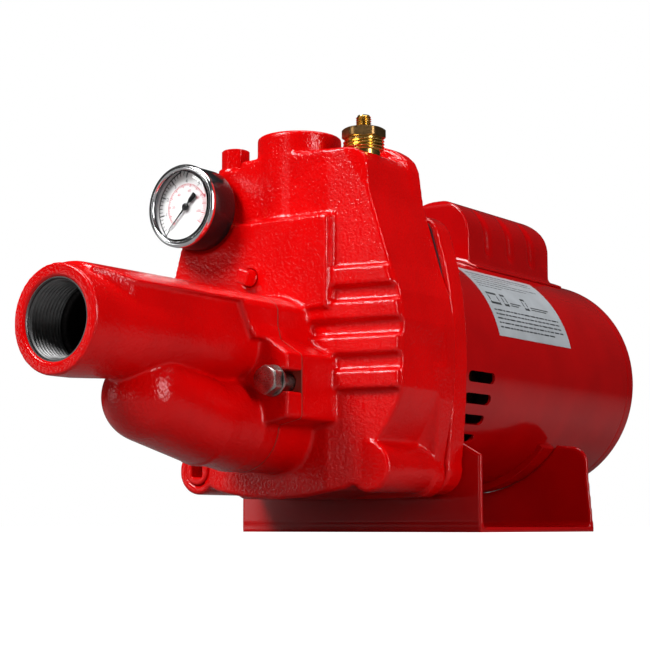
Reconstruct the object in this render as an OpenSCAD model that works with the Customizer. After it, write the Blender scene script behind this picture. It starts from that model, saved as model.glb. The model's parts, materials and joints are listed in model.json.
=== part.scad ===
// Shallow well jet pump: cast iron pump end, two-bolt jet injector, capacitor-start motor on a
// sheet metal foot. +Z is up, +Y runs along the shaft towards the motor, +X is to the right seen
// from the suction port. The origin lies on the floor, in the middle of the four foot holes.
// Stations along the shaft are distances behind the suction face.

/* [Layout] */
// Height of the shaft above the floor
shaft_h = 99.5; // [95:0.5:104]
// Distance from the suction face back to the origin
foot_station = 318; // [316:1:320]
// Station of the joint between injector and pump case
joint_station = 141; // [140:1:142]
// Station of the rear face of the pump case
case_rear = 232; // [232:1:232]
// Station of the front edge of the motor shell
shell_front = 250; // [250:1:250]
// Station of the rear edge of the motor shell
shell_rear = 469; // [468:1:470]
// Station of the rear face of the motor
motor_rear = 480; // [479:1:481]

/* [Injector] */
// Outside radius of the suction boss
boss_r = 26.7; // [26:0.1:28]
// Tapped radius of the suction port
port_r = 19.6; // [19:0.1:20]
// Outside radius of the tube behind the boss
tube_r = 22; // [21.5:0.5:23]
// Outside radius of the lower drive water passage
passage_r = 23; // [22:0.5:24]
// Height of the lower passage above the floor
passage_h = 57; // [56:0.5:58]
// Half spacing of the two injector bolts
bolt_x = 31; // [30.5:0.5:31.5]
// Height of the injector bolts above the floor
bolt_h = 78; // [77:0.5:79]
// Thickness of the injector ears
ear_t = 12.4; // [11:0.2:13]

/* [Pump case] */
// Station of the discharge, prime and switch ports
port_station = 192; // [191:1:193]
// Outside radius of the discharge boss
discharge_r = 23.8; // [23.5:0.1:24]
// Tapped radius of the discharge port
discharge_bore_r = 15; // [14.5:0.5:15.5]
// Height of the top of the discharge boss
discharge_h = 222; // [221:1:223]
// Sideways offset of the prime plug and the switch fitting
side_port_x = 45; // [44:0.5:46]
// Height of one cast rib
rib_h = 10; // [9:0.5:10.5]
// Height from one rib to the next
rib_pitch = 18.6; // [18:0.1:19]
// How far a rib stands proud of the case
rib_depth = 4; // [3:0.5:5]

/* [Motor] */
// Outside radius of the motor shell
shell_r = 71; // [70.5:0.5:71]
// Thickness of the shell sheet
shell_t = 1.6; // [1.4:0.1:1.8]
// Radius of the shaft
shaft_r = 8; // [7.9:0.1:8]
// Radius of the rotor core
rotor_r = 35; // [34:0.5:35]
// Vent slots on each side of the shell
vents = 4; // [3:1:4]
// Balls in each bearing
balls = 8; // [7:1:8]

/* [Gauge] */
// Sideways offset of the gauge
gauge_x = -47.4; // [-48:0.2:-46]
// Height of the gauge centre
gauge_h = 181.3; // [180:0.1:182]
// Station of the front of the bezel
gauge_front = 145; // [144:1:146]
// Outside radius of the bezel
bezel_r = 23.6; // [23:0.1:24]

/* [Foot] */
// Width of the foot
foot_w = 168; // [166:1:170]
// Thickness of the foot sheet
sheet_t = 3; // [2.5:0.5:3.5]
// Half spacing of the mounting holes across the foot
hole_x = 62; // [60:1:64]
// Half spacing of the mounting holes along the foot
hole_y = 44; // [42:1:46]
// Radius of the mounting holes
hole_r = 5.5; // [5:0.5:6]

/* [Hidden] */
$fn = 96;

cast_red = [0.80, 0.05, 0.04];
steel = [0.72, 0.72, 0.74];
brass = [0.80, 0.62, 0.25];
black = [0.08, 0.08, 0.09];
rubber = [0.12, 0.12, 0.12];
white = [0.93, 0.93, 0.91];
copper = [0.75, 0.40, 0.20];
gap = 0.05;
cut = 1;

gasket_t = 0.8;
pad_front = joint_station + gasket_t;
ear_front = joint_station - ear_t;
case_face = 171.5;
adapter_front = case_rear + 1;
adapter_rear = 249;
shell_inner_r = shell_r - shell_t;
bearing_bore_r = 8.5;
bearing_r = 20;
bearing_w = 12;
front_bearing = 256;
rear_bearing = 456;
through_circle = 61.5;
through_r = 2.4;
governor_station = 428;

// ---------- shared shapes ----------

// Cylinder along the shaft direction between two stations
module rod(y0, y1, r, x = 0, z = shaft_h, r2 = undef) {
  translate([x, y0 - foot_station, z])
    rotate([-90, 0, 0])
      cylinder(h = y1 - y0, r1 = r, r2 = is_undef(r2) ? r : r2);
}

// Upright plate between two stations, drawn as a front elevation in x and z
module plate(y0, y1) {
  translate([0, y1 - foot_station, 0])
    rotate([90, 0, 0])
      linear_extrude(y1 - y0)
        children();
}

// Body turned about the shaft direction; points are [radius, station]
module turned(points, x = 0, z = shaft_h) {
  translate([x, -foot_station, z])
    rotate([-90, 0, 0])
      rotate_extrude()
        polygon(points);
}

// Box between two stations, x range and z range
module block(x, y, z) {
  translate([x[0], y[0] - foot_station, z[0]])
    cube([x[1] - x[0], y[1] - y[0], z[1] - z[0]]);
}

// Upright cylinder at a station
module post(x, y, z0, z1, r, n = $fn, r2 = undef) {
  translate([x, y - foot_station, z0])
    cylinder(h = z1 - z0, r1 = r, r2 = is_undef(r2) ? r : r2, $fn = n);
}

module both_sides() {
  children();
  mirror([1, 0, 0])
    children();
}

// Points of an arc about a centre, from one angle to another
function arc(c, r, a0, a1, steps) =
  [for (i = [0 : steps]) let (a = a0 + (a1 - a0) * i / steps) [c[0] + r * cos(a), c[1] + r * sin(a)]];

// A half outline and its mirror image, joined
function mirrored(half) =
  concat(half, [for (i = [len(half) - 1 : -1 : 0]) if (half[i][0] > 0) [-half[i][0], half[i][1]]]);

// ---------- injector ----------

ear_x = 40.3;
block_x = 24.5;
flange_r = passage_r + 2.4;

// Half outline of the injector flange and of the pad that it bolts to, top to bottom
function flange_half() = concat(
  arc([0, 87.4], 40, 90, 55, 5),
  [[block_x, 117], [block_x, 108], [26.5, 101]],
  arc([37, 90.5], 3.3, 80, 0, 3),
  [[ear_x, 61]],
  arc([37.5, 61], 2.8, 0, -90, 3),
  arc([0, passage_h], flange_r, -3, -90, 9)
);

module flange_outline(reduce = 0) {
  polygon(mirrored([for (p = flange_half()) [max(p[0] - reduce, 0), p[1]]]));
}

module bolt_slots(y0, y1) {
  both_sides() {
    rod(y0, y1, 5.4, bolt_x, bolt_h);
    block([bolt_x, ear_x + 4], [y0, y1], [bolt_h - 5.4, bolt_h + 5.4]);
  }
}

// Round bar with rounded ends, in the plane of the shaft
module capsule(y0, z0, y1, z1, r) {
  tilt = atan2(z0 - z1, y1 - y0);
  end_r = r - 0.06;
  translate([0, y0 - foot_station, z0]) {
    sphere(end_r);
    rotate([-90 - tilt, 0, 0])
      cylinder(h = norm([y1 - y0, z1 - z0]), r = r);
  }
  translate([0, y1 - foot_station, z1])
    sphere(end_r);
}

// Plan of the walls beside the tube: they leave the boss, then draw in towards the flange
module wall_plan(side, front) {
  translate([0, -foot_station, 0])
    polygon([
      [-side, 112], [-side - 2, 30], [-18, front], [18, front], [side + 2, 30], [side, 112]
    ]);
}

module injector_outside() {
  crown = 128;
  ledge = 118.3;
  crown_r = 40;
  taper_end = 100;
  rod(0, 14, boss_r);
  rod(14, taper_end, boss_r, r2 = tube_r);
  rod(taper_end, joint_station, tube_r);
  translate([0, 0, shaft_h])
    linear_extrude(ledge + 1 - shaft_h)
      wall_plan(tube_r, 10);
  block([-tube_r, tube_r], [100, joint_station - 2], [shaft_h, ledge + 1]);
  // arched roof slab with a tapered front end
  intersection() {
    plate(0, 112)
      polygon(mirrored(concat(
        arc([0, crown - crown_r], crown_r, 90, 51.2, 6),
        [[25, ledge], [0, ledge]]
      )));
    translate([0, 0, ledge - 1])
      linear_extrude(20)
        translate([0, -foot_station])
          polygon([[-25, 112], [-25, 30], [-16, 8], [16, 8], [25, 30], [25, 112]]);
  }
  capsule(66, 67, 106, passage_h + 0.5, passage_r - 0.2);
  rod(104, 122, passage_r, 0, passage_h);
  rod(114, ear_front + 2, passage_r, 0, passage_h, flange_r - 0.25);
  plate(ear_front, joint_station)
    flange_outline();
  // upper block, its front face leaning back towards the ears
  intersection() {
    plate(106, joint_station)
      flange_outline();
    translate([-30, 0, 0])
      rotate([90, 0, 90])
        linear_extrude(60)
          polygon([
            [110 - foot_station, 130], [110 - foot_station, 117], [120 - foot_station, 100],
            [joint_station - foot_station, 100], [joint_station - foot_station, 130]
          ]);
  }
}

chamber_r = 17.4;
venturi_r = 13;
stem_station = 66;
drive_r = 14;

module injector_body() {
  color(cast_red)
    difference() {
      union() {
        difference() {
          injector_outside();
          rod(-cut, 26, port_r);
          turned([[0, -cut], [21, -cut], [21, 0], [port_r, 1.8], [0, 1.8]]);
          rod(25, 104, chamber_r);
        }
        // stem that carries the nozzle in the middle of the suction chamber
        post(0, stem_station, 70, shaft_h + 9, 10.5);
      }
      rod(103, joint_station + cut, venturi_r + gap);
      rod(84, joint_station + cut, drive_r, 0, passage_h);
      post(0, stem_station, 66, shaft_h, 6);
      rod(stem_station, stem_station + 12, 6);
      // throat between the drive passage and the stem
      block([-6, 6], [stem_station, 90], [62, 70]);
      bolt_slots(ear_front - 4, joint_station + cut);
    }
}

module injector_gasket() {
  color([0.75, 0.35, 0.15])
    difference() {
      plate(joint_station, pad_front)
        flange_outline(0.3);
      rod(joint_station - cut, pad_front + cut, 16);
      rod(joint_station - cut, pad_front + cut, drive_r, 0, passage_h);
      both_sides()
        rod(joint_station - cut, pad_front + cut, 5.2, bolt_x, bolt_h);
    }
}

washer_t = 1.6;
bolt_r = 4.7;
bolt_reach = 24;

module hex_bolt(station, x, z, shank_r, reach, flats, head) {
  translate([x, station - foot_station, z])
    rotate([90, 0, 0])
      rotate(30) {
        cylinder(h = head, r = flats / 2 / cos(30), $fn = 6);
        translate([0, 0, -reach])
          cylinder(h = reach, r = shank_r);
      }
}

module injector_bolts() {
  color(steel)
    both_sides()
      hex_bolt(ear_front - washer_t, bolt_x, bolt_h, bolt_r, ear_t + washer_t + bolt_reach, 14.2, 6);
}

module injector_washers() {
  color(steel)
    both_sides()
      difference() {
        rod(ear_front - washer_t, ear_front, 8.3, bolt_x, bolt_h);
        rod(ear_front - washer_t - cut, ear_front + cut, bolt_r + 0.3, bolt_x, bolt_h);
      }
}

module nozzle() {
  color(brass)
    turned([
      [3.4, 97], [3.4, 92], [4.8, 76], [4.8, stem_station + 3], [5.95, stem_station + 3],
      [5.95, stem_station + 10.6], [9, stem_station + 10.6], [9, 83], [5.2, 97]
    ]);
}

venturi_front = 98.5;
venturi_rear = 186;

module venturi_tube() {
  color([0.18, 0.18, 0.2])
    turned([
      [10.5, venturi_front], [5.6, 112], [5.6, 132], [10, venturi_rear], [venturi_r, venturi_rear],
      [venturi_r, 182.2], [11.2, 182.2], [11.2, 178.8], [venturi_r, 178.8], [venturi_r, venturi_front + 3],
      [12, venturi_front]
    ]);
}

module venturi_seal_ring() {
  ring_r = 0.85;
  color(rubber)
    translate([0, 180.5 - foot_station, shaft_h])
      rotate([-90, 0, 0])
        rotate_extrude()
          translate([12.1, 0])
            circle(ring_r, $fn = 24);
}

// ---------- pump case ----------

volute_r = 81;
case_half = 78.6;
case_top = 208.5;
left_top = 204.5;
rear_top = 219;

// Half outline of the case from the top down to the widest point
function case_upper() = concat(
  [[0, case_top]],
  arc([44.5, case_top - 11.5], 11.5, 90, 5, 6),
  [[58.5, 183], [64.5, 163], [70, 144], [76, 128], [case_half, 112]]
);

function case_flange_half() = concat(
  [[0, rear_top], [30, rear_top], [37.5, rear_top - 1.2], [43.5, rear_top - 3.4]],
  [[49, rear_top - 6.7], [53.5, rear_top - 11], [56, rear_top - 17], [58.5, 183], [64.5, 163]],
  [[70, 144], [76, 128], [case_half, 112]],
  [[case_half, 90], [77.2, 72], [73, 50]],
  arc([58, 32], 13.5, 20, -70, 5),
  [[40, 18.6], [0, 18]]
);

// Angle at which the round volute meets the flat case side
side_angle = acos((case_half - 1) / volute_r);

function case_body_half() = concat(
  case_upper(),
  [[case_half - 1, shaft_h]],
  arc([0, shaft_h], volute_r, -side_angle, -38, 7),
  [[60, 40], [53, 27], [42, 22.5], [20, 18.8], [0, 17.8]]
);

// Plan of the case: flat in the middle, leaning back towards the sides
module case_plan(depth, z0, z1) {
  y = case_face - depth;
  translate([0, -foot_station, z0])
    linear_extrude(z1 - z0)
      polygon(mirrored([[0, y], [34, y], [82, y + 9.5], [82, case_rear], [0, case_rear]]));
}

// Half plan of the crown at its foot and at its top, as x and depth behind the face
crown_low = [[35, 0.2], [47, 2.6], [58, 4.8], [67, 6.6], [74, 7.9], [79, 8.9], [82, 9.5], [82, 34]];
crown_high = [[33, 0.3], [42, 2.2], [48, 5.2], [52.5, 9.6], [55.5, 15], [57.5, 22], [59, 30], [60, 42]];

// Upper case front: its corners round back more and more towards the top
module case_crown() {
  steps = 6;
  hull()
    for (i = [0 : steps]) let (rise = i / steps, share = rise * (0.45 + 0.55 * rise)) {
      half = [
        for (k = [0 : len(crown_low) - 1])
          crown_low[k] * (1 - share) + crown_high[k] * share + [0, case_face]
      ];
      rear_corner = [half[len(half) - 1][0], case_rear];
      translate([0, -foot_station, 142 + (case_top - 142) * rise])
        linear_extrude(0.1)
          polygon(mirrored(concat([[0, case_face]], half, [rear_corner, [0, case_rear]])));
    }
}

module case_ribs() {
  intersection() {
    plate(150, 200)
      polygon(mirrored([for (p = case_body_half()) [max(p[0] - 1, 0), p[1]]]));
    case_plan(rib_depth, 50, 150);
    union() {
      for (i = [1 : 3])
        block([-90, 90], [150, 200], [141.5 - rib_pitch * i - rib_h, 141.5 - rib_pitch * i]);
      block([0, 90], [150, 200], [141.5 - rib_h, 141.5]);
    }
  }
}

lug_x = 58;
lug_h = 34.5;
lug_r = 13.5;
lug_front = 175.5;

// Hollow round-off between the volute and the square flange
module volute_flare() {
  flare = 17;
  flare_front = case_rear - 10 - flare;
  intersection() {
    turned(concat(
      [[volute_r - 8, flare_front], [volute_r - 4, flare_front]],
      [for (i = [1 : 6]) let (a = 15 * i)
        [volute_r - 4 + flare * (1 - cos(a)), flare_front + flare * sin(a)]],
      [[volute_r - 8, case_rear - 9]]
    ));
    plate(180, case_rear)
      polygon(mirrored(case_flange_half()));
    block([-90, 90], [180, case_rear], [0, 90]);
  }
}

module case_outside() {
  intersection() {
    plate(case_face - 1, case_rear - 9)
      polygon(mirrored(case_body_half()));
    union() {
      case_plan(0, 0, 142.05);
      case_crown();
    }
  }
  plate(case_rear - 10, case_rear)
    polygon(mirrored(case_flange_half()));
  volute_flare();
  case_ribs();
  // raised block above the pad
  intersection() {
    plate(case_face - 6, 190)
      polygon(mirrored([for (p = case_body_half()) [max(p[0] - 1, 0), p[1]]]));
    block([-90, 38.5], [150, 200], [120, 171.5]);
  }
  plate(pad_front, case_face + 8)
    flange_outline();
  post(0, discharge_station, 150, discharge_h, discharge_r);
  // corner lugs
  both_sides()
    rod(lug_front, case_rear - 5, lug_r, lug_x, lug_h);
  // boss behind the gauge
  rod(175, 196, 10, gauge_x, gauge_h);
}

discharge_station = port_station + 1.5;

module case_hollow() {
  chamber = 66;
  rod(187, case_rear + cut, chamber);
  // upper water space
  intersection() {
    block([-47, 47], [182, case_rear - 12], [150, 199]);
    plate(180, case_rear)
      polygon(mirrored([for (p = case_upper()) [max(p[0] - 8, 0), p[1]]]));
  }
  rod(pad_front - cut, 190, 16);
  rod(pad_front - cut, 172, drive_r, 0, passage_h);
  block([-drive_r, drive_r], [160, 190], [passage_h - drive_r, passage_h + 9]);
  post(0, discharge_station, 180, discharge_h + cut, discharge_bore_r);
  // the case top is lower on the side of the prime plug, and falls towards the rear
  translate([-90, -foot_station, 0])
    rotate([90, 0, 90])
      linear_extrude(90 - 25.5)
        polygon([
          [150, left_top], [202, left_top], [case_rear + cut, left_top - 3], [case_rear + cut, 230],
          [150, 230]
        ]);
  both_sides()
    post(side_port_x, port_station, 193, 220, 9.5);
  // shallow recess behind the gauge, and the spot face for its socket
  rod(150, gauge_rear + 0.8, bezel_r + 0.6, gauge_x, gauge_h);
  rod(150, 175.05, 9, gauge_x, gauge_h);
  // drilling from the drain plug up into the volute
  translate([-lug_x, 196 - foot_station, lug_h])
    rotate([0, atan2(lug_x, shaft_h - lug_h), 0])
      cylinder(h = 23, r = 4);
  both_sides()
    rod(pad_front - cut, pad_front + bolt_reach + 2, bolt_r + gap, bolt_x, bolt_h);
  rod(170, 200, 6.6, gauge_x, gauge_h);
  rod(160, 190, 5, -14, 140);
  rod(lug_front - cut, 205, 8, -lug_x, lug_h);
  for (p = case_bolt_places)
    rod(case_rear - 9, case_rear + cut, 4, p[0], p[1]);
}

case_bolt_places = [[58, 38], [-58, 38], [50, 170], [-50, 170]];

module pump_case() {
  color(cast_red)
    difference() {
      case_outside();
      case_hollow();
    }
}

diffuser_r = 64;

module diffuser() {
  vane_count = 8;
  color(black)
    difference() {
      union() {
        rod(176, 198, 15.9);
        rod(194, 198, diffuser_r);
        difference() {
          rod(197, 222, diffuser_r);
          rod(196, 223, 61.4);
        }
        for (i = [0 : vane_count - 1])
          translate([0, 0, shaft_h])
            rotate([0, i * 360 / vane_count, 0])
              translate([57.5, 197 - foot_station, 0])
                rotate([0, 25, 0])
                  cube([5, 24, 1.6]);
      }
      rod(175, 188, venturi_r + gap);
      rod(187, 199, 12);
      // ring of outlets at the top of the guide ring
      for (a = [-60 : 30 : 60])
        translate([0, 0, shaft_h])
          rotate([0, a, 0])
            translate([-6, 206 - foot_station, 55])
              cube([12, 12, 14]);
    }
}

impeller_r = 54;

module impeller() {
  vane_count = 6;
  wall = 2.4;
  color([0.15, 0.15, 0.17])
    difference() {
      union() {
        rod(216.5, 219.5, impeller_r);
        difference() {
          rod(203.5, 206.5, impeller_r);
          rod(202, 208, 19);
        }
        difference() {
          rod(200.5, 204, 21);
          rod(200, 205, 18.6);
        }
        rod(208, 224, 13);
        for (i = [0 : vane_count - 1])
          translate([0, 218 - foot_station, shaft_h])
            rotate([90, i * 360 / vane_count, 0])
              linear_extrude(12.5)
                intersection() {
                  difference() {
                    translate([30, 18])
                      circle(30);
                    translate([30, 18])
                      circle(30 - wall);
                  }
                  difference() {
                    circle(impeller_r - 1);
                    circle(16);
                  }
                  translate([0, -40])
                    square([60, 40]);
                }
      }
      rod(206, 225, 6.5);
    }
}

module seal_rotary_head() {
  color(black)
    turned([
      [shaft_r + gap, 232], [shaft_r + gap, 240], [14.5, 240], [14.5, 237.5], [13, 236.5], [13, 232]
    ]);
}

// Coil spring between the impeller hub and the rotary head
module seal_spring() {
  turns = 3.5;
  steps = 84;
  sides = 8;
  coil_r = 11;
  wire_r = 0.9;
  rise = 8 - 2 * wire_r - 0.2;
  ring = function (i)
    let (a = 360 * turns * i / steps, y = 224 + wire_r + 0.1 + rise * i / steps)
      [for (k = [0 : sides - 1]) let (b = 360 * k / sides, r = coil_r + wire_r * cos(b))
        [r * cos(a), y - foot_station + wire_r * sin(b), shaft_h + r * sin(a)]];
  points = [for (i = [0 : steps]) each ring(i)];
  faces = concat(
    [[for (k = [0 : sides - 1]) k]],
    [for (i = [0 : steps - 1]) for (k = [0 : sides - 1])
      let (a = i * sides + k, b = i * sides + (k + 1) % sides) [a, a + sides, b + sides, b]],
    [[for (k = [sides - 1 : -1 : 0]) steps * sides + k]]
  );
  color(steel)
    polyhedron(points, faces);
}

module seal_seat() {
  color([0.9, 0.88, 0.82])
    turned([[9, 240], [9, 245], [15, 245], [15, 240]]);
}

module seal_seat_cup() {
  color(rubber)
    turned([[10, 245], [10, 247], [17.5, 247], [17.5, 240.5], [15, 240.5], [15, 245]]);
}

module case_gasket() {
  color([0.2, 0.18, 0.17])
    difference() {
      plate(case_rear, adapter_front)
        polygon(mirrored([for (p = adapter_half()) [max(p[0] - 3, 0), p[1]]]));
      rod(case_rear - cut, adapter_front + cut, 66);
      for (p = case_bolt_places)
        rod(case_rear - cut, adapter_front + cut, 4.3, p[0], p[1]);
    }
}

// ---------- motor adapter and foot ----------

function adapter_half() = concat(
  [[0, 181]],
  arc([51, 162], 17, 80, 25, 4),
  [[72, 149], [75, 133], [77, 110], [77, 90], [76.2, 72], [74.5, 50]],
  arc([59, 35], 14.5, 15, -75, 5),
  [[0, 20.5]]
);

module motor_adapter() {
  color(cast_red)
    difference() {
      union() {
        plate(adapter_front, adapter_rear)
          polygon(mirrored(adapter_half()));
        rod(230, adapter_front + cut, 65.8);
      }
      // recess around the seal and open space towards the motor
      rod(229, 236, 40);
      rod(229, 260, 9.6);
      rod(235, 247, 17.5);
      difference() {
        rod(240, adapter_rear + cut, 58);
        rod(239, adapter_rear + 2, 27);
      }
      for (p = case_bolt_places)
        rod(229, 250, 4.3, p[0], p[1]);
    }
}

module case_bolts() {
  color(steel)
    for (p = case_bolt_places) {
      lower = p[1] < shaft_h;
      head_at = adapter_rear + (lower ? sheet_t + 0.5 : 0);
      translate([p[0], head_at - foot_station, p[1]])
        rotate([-90, 0, 0])
          rotate(30) {
            cylinder(h = 5.5, r = 12.7 / 2 / cos(30), $fn = 6);
            translate([0, 0, -(head_at - case_rear) - 8])
              cylinder(h = head_at - case_rear + 8, r = 3.95);
          }
    }
}

foot_front = 249.5;
foot_rear = 389;

module motor_foot() {
  half = foot_w / 2;
  saddle_r = shell_r + 4;
  color(cast_red)
    difference() {
      union() {
        block([-half, half], [foot_front, foot_rear], [0, sheet_t]);
        plate(foot_front, foot_front + sheet_t)
          polygon(mirrored([[0, 0], [half, 0], [half, 43], [68, 52], [0, 52]]));
        plate(foot_rear - sheet_t, foot_rear)
          polygon(mirrored(concat(
            [[0, 0], [half, 0], [half - 3, 34]],
            arc([half - 14, 42], 11, 0, 85, 5),
            [[52, 55], [0, 55]]
          )));
      }
      plate(foot_front - cut, foot_rear + cut)
        translate([0, shaft_h])
          circle(saddle_r);
      for (p = case_bolt_places)
        if (p[1] < shaft_h)
          rod(foot_front - cut, foot_front + 6, 4.3, p[0], p[1]);
      for (x = [-hole_x, hole_x], y = [-hole_y, hole_y])
        translate([x, y, -cut])
          cylinder(h = sheet_t + 2 * cut, r = hole_r);
    }
}

module saddle_pad() {
  color(black)
    difference() {
      intersection() {
        rod(372, foot_rear, shell_r + 4);
        block([-60, 60], [360, 400], [10, 52]);
      }
      rod(370, foot_rear + cut, shell_r);
    }
}

// ---------- plugs and fittings ----------

module prime_plug() {
  collar_top = left_top + 4.5;
  color(cast_red) {
    post(-side_port_x, port_station, 194, left_top, 9.45);
    post(-side_port_x, port_station, left_top, collar_top, 9.8);
    post(-side_port_x, port_station, collar_top - 0.1, 221.5, 8.5, 6);
  }
}

module vent_plug() {
  color(cast_red)
    translate([-14, 0, 140])
      rotate([0, 20, 0])
        translate([14, 0, -140]) {
          rod(case_face - 6, 178, 4.95, -14, 140);
          block([-18, -10], [case_face - 13, case_face - 6], [136, 144]);
        }
}

module drain_plug() {
  socket = 3.6;
  color(cast_red)
    difference() {
      rod(lug_front - 1, 195, 7.95, -lug_x, lug_h);
      translate([-lug_x, lug_front + 3.5 - foot_station, lug_h])
        cube([2 * socket, 11, 2 * socket], center = true);
    }
}

module switch_fitting() {
  color(brass)
    difference() {
      union() {
        post(side_port_x, port_station, 197, case_top, 9.45);
        post(side_port_x, port_station, case_top, 215.5, 11.5);
        post(side_port_x, port_station, 215.3, 221.2, 12.7, 6);
        post(side_port_x, port_station, 221, 227.4, 4.3);
        post(side_port_x, port_station, 227.4, 228.8, 4.3, r2 = 3.6);
      }
      post(side_port_x, port_station, 196, 230, 2.2);
    }
}

// ---------- gauge ----------

gauge_rear = gauge_front + 22;
dial_station = gauge_front + 6;
works_station = gauge_rear - 9;

module gauge_socket() {
  color(brass)
    difference() {
      union() {
        rod(gauge_rear, 192, 6.55, gauge_x, gauge_h);
        translate([gauge_x, gauge_rear - foot_station, gauge_h])
          rotate([-90, 0, 0])
            cylinder(h = 8, r = 8.1, $fn = 6);
        rod(gauge_rear - 3, gauge_rear + 1, 6.5, gauge_x, gauge_h);
        // block that carries the spring tube, and the plate that the movement turns in
        translate([gauge_x - 5, gauge_rear - 6.6 - foot_station, gauge_h - 17.25])
          cube([10, 4.5, 20.25]);
        translate([gauge_x - 5, works_station - foot_station, gauge_h - 20.5])
          cube([10, 2.5, 23.5]);
      }
      rod(gauge_rear + 1, 193, 2, gauge_x, gauge_h);
      rod(works_station - cut, works_station + 2, 0.85, gauge_x, gauge_h);
      rod(works_station - cut, works_station + 2, 1.05, gauge_x, gauge_h - sector_reach);
    }
}

module gauge_case() {
  color(black)
    turned([
      [6.6, gauge_rear], [22, gauge_rear], [23.2, gauge_rear - 1.4], [23.2, gauge_front + 3.4],
      [21.4, gauge_front + 3.4], [21.4, gauge_rear - 2], [6.6, gauge_rear - 2]
    ], gauge_x, gauge_h);
}

module gauge_bezel() {
  color([0.85, 0.86, 0.88])
    turned([
      [20.4, gauge_front + 1.6], [21.6, gauge_front], [23, gauge_front], [bezel_r, gauge_front + 1],
      [bezel_r, gauge_front + 3.35], [21.3, gauge_front + 3.35], [21.3, gauge_front + 2],
      [20.4, gauge_front + 2]
    ], gauge_x, gauge_h);
}

module gauge_lens() {
  color([0.85, 0.9, 0.92, 0.3])
    rod(gauge_front + 2.05, gauge_front + 3.3, 21.25, gauge_x, gauge_h);
}

module gauge_dial() {
  color(white)
    difference() {
      rod(dial_station, dial_station + 0.8, 21.3, gauge_x, gauge_h);
      rod(dial_station - cut, dial_station + 2, 1.7, gauge_x, gauge_h);
    }
}

pointer_rest = 225;

// Pointer on its arbor, with the pinion that the sector drives
module gauge_pointer() {
  color(black)
    translate([gauge_x, dial_station - foot_station, gauge_h])
      rotate([90, 0, 0]) {
        translate([0, 0, 0.8])
          linear_extrude(0.5)
            rotate(pointer_rest) {
              polygon([[0, -0.9], [17.5, -0.2], [17.5, 0.2], [0, 0.9]]);
              polygon([[-9.5, -1.5], [-3, -0.7], [-3, 0.7], [-9.5, 1.5]]);
              translate([-3.5, -0.6])
                square([4, 1.2]);
            }
        translate([0, 0, 0.6])
          cylinder(h = 1.2, r = 2);
        translate([0, 0, -8.5])
          cylinder(h = 9.5, r = 0.8);
        translate([0, 0, -6.5])
          toothed_wheel(10, 0.5, 1.8, 10);
      }
}

// Small spur wheel: a root disc with straight-sided teeth
module toothed_wheel(teeth, module_size, thick, drawn) {
  pitch_r = teeth * module_size / 2;
  linear_extrude(thick)
    union() {
      circle(pitch_r - 1.15 * module_size);
      for (i = [0 : drawn - 1])
        rotate(i * 360 / teeth)
          polygon([
            [pitch_r - 1.4 * module_size, -0.9 * module_size], [pitch_r, -0.66 * module_size],
            [pitch_r + 0.85 * module_size, -0.34 * module_size],
            [pitch_r + 0.85 * module_size, 0.34 * module_size], [pitch_r, 0.66 * module_size],
            [pitch_r - 1.4 * module_size, 0.9 * module_size]
          ]);
    }
}

sector_teeth = 60;
sector_reach = (10 + sector_teeth) * 0.5 / 2;

// Toothed quadrant below the pinion, pivoted on the movement plate
module gauge_sector() {
  first = -9;
  last = 1;
  pitch = 360 / sector_teeth;
  pitch_r = sector_teeth * 0.5 / 2;
  color(brass)
    translate([gauge_x, dial_station - foot_station, gauge_h - sector_reach])
      rotate([90, 0, 0]) {
        translate([0, 0, -6.5])
          linear_extrude(1.2) {
            polygon(concat(
              [[0, 0]],
              arc([0, 0], pitch_r - 0.6, 90 + (first - 0.5) * pitch, 90 + (last + 0.5) * pitch, 12)
            ));
            for (i = [first : last])
              rotate(90 + i * pitch)
                polygon([
                  [pitch_r - 0.75, -0.45], [pitch_r, -0.32], [pitch_r + 0.4, -0.17],
                  [pitch_r + 0.4, 0.17], [pitch_r, 0.32], [pitch_r - 0.75, 0.45]
                ]);
            circle(2.2);
          }
        translate([0, 0, -8.5])
          cylinder(h = 4.5, r = 1);
      }
}

// Flattened spring tube bent round the works
module gauge_bourdon_tube() {
  color(brass)
    translate([gauge_x, gauge_rear - 2.6 - foot_station, gauge_h])
      rotate([90, 0, 0])
        linear_extrude(3.5)
          difference() {
            circle(20);
            circle(18);
            translate([-22, -22])
              square([17, 44]);
          }
}

// ---------- motor ----------

module motor_shell() {
  slot_l = 30;
  slot_h = 6.4;
  color(cast_red)
    difference() {
      rod(shell_front, shell_rear, shell_r);
      rod(shell_front - cut, shell_rear + cut, shell_inner_r);
      post(0, cover_rear + 4, 160, 180, 2);
      both_sides()
        for (i = [0 : vents - 1])
          translate([0, 0, shaft_h])
            rotate([0, 9 + 10.3 * i, 0])
              translate([0, 264 - foot_station, 0]) {
                translate([shell_r - 6, 0, -slot_h / 2])
                  cube([12, slot_l - slot_h, slot_h]);
                for (y = [0, slot_l - slot_h])
                  translate([shell_r - 6, y, 0])
                    rotate([0, 90, 0])
                      cylinder(h = 12, r = slot_h / 2);
              }
    }
}

module front_bearing_housing() {
  spokes = 4;
  color([0.7, 0.71, 0.72])
    difference() {
      union() {
        turned([
          [12, 252], [26, 252], [26, front_bearing + bearing_w], [bearing_r + gap, front_bearing + bearing_w],
          [bearing_r + gap, front_bearing], [12, front_bearing]
        ]);
        turned([[56, 251], [shell_inner_r - gap, 251], [shell_inner_r - gap, 262], [66.5, 262], [56, 256]]);
        for (i = [0 : spokes - 1])
          translate([0, 0, shaft_h])
            rotate([0, 45 + 90 * i, 0])
              translate([-6, 252 - foot_station, 25])
                cube([12, 4, 38]);
      }
      through_bolt_row(250, 264, through_r + gap);
    }
}

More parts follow.
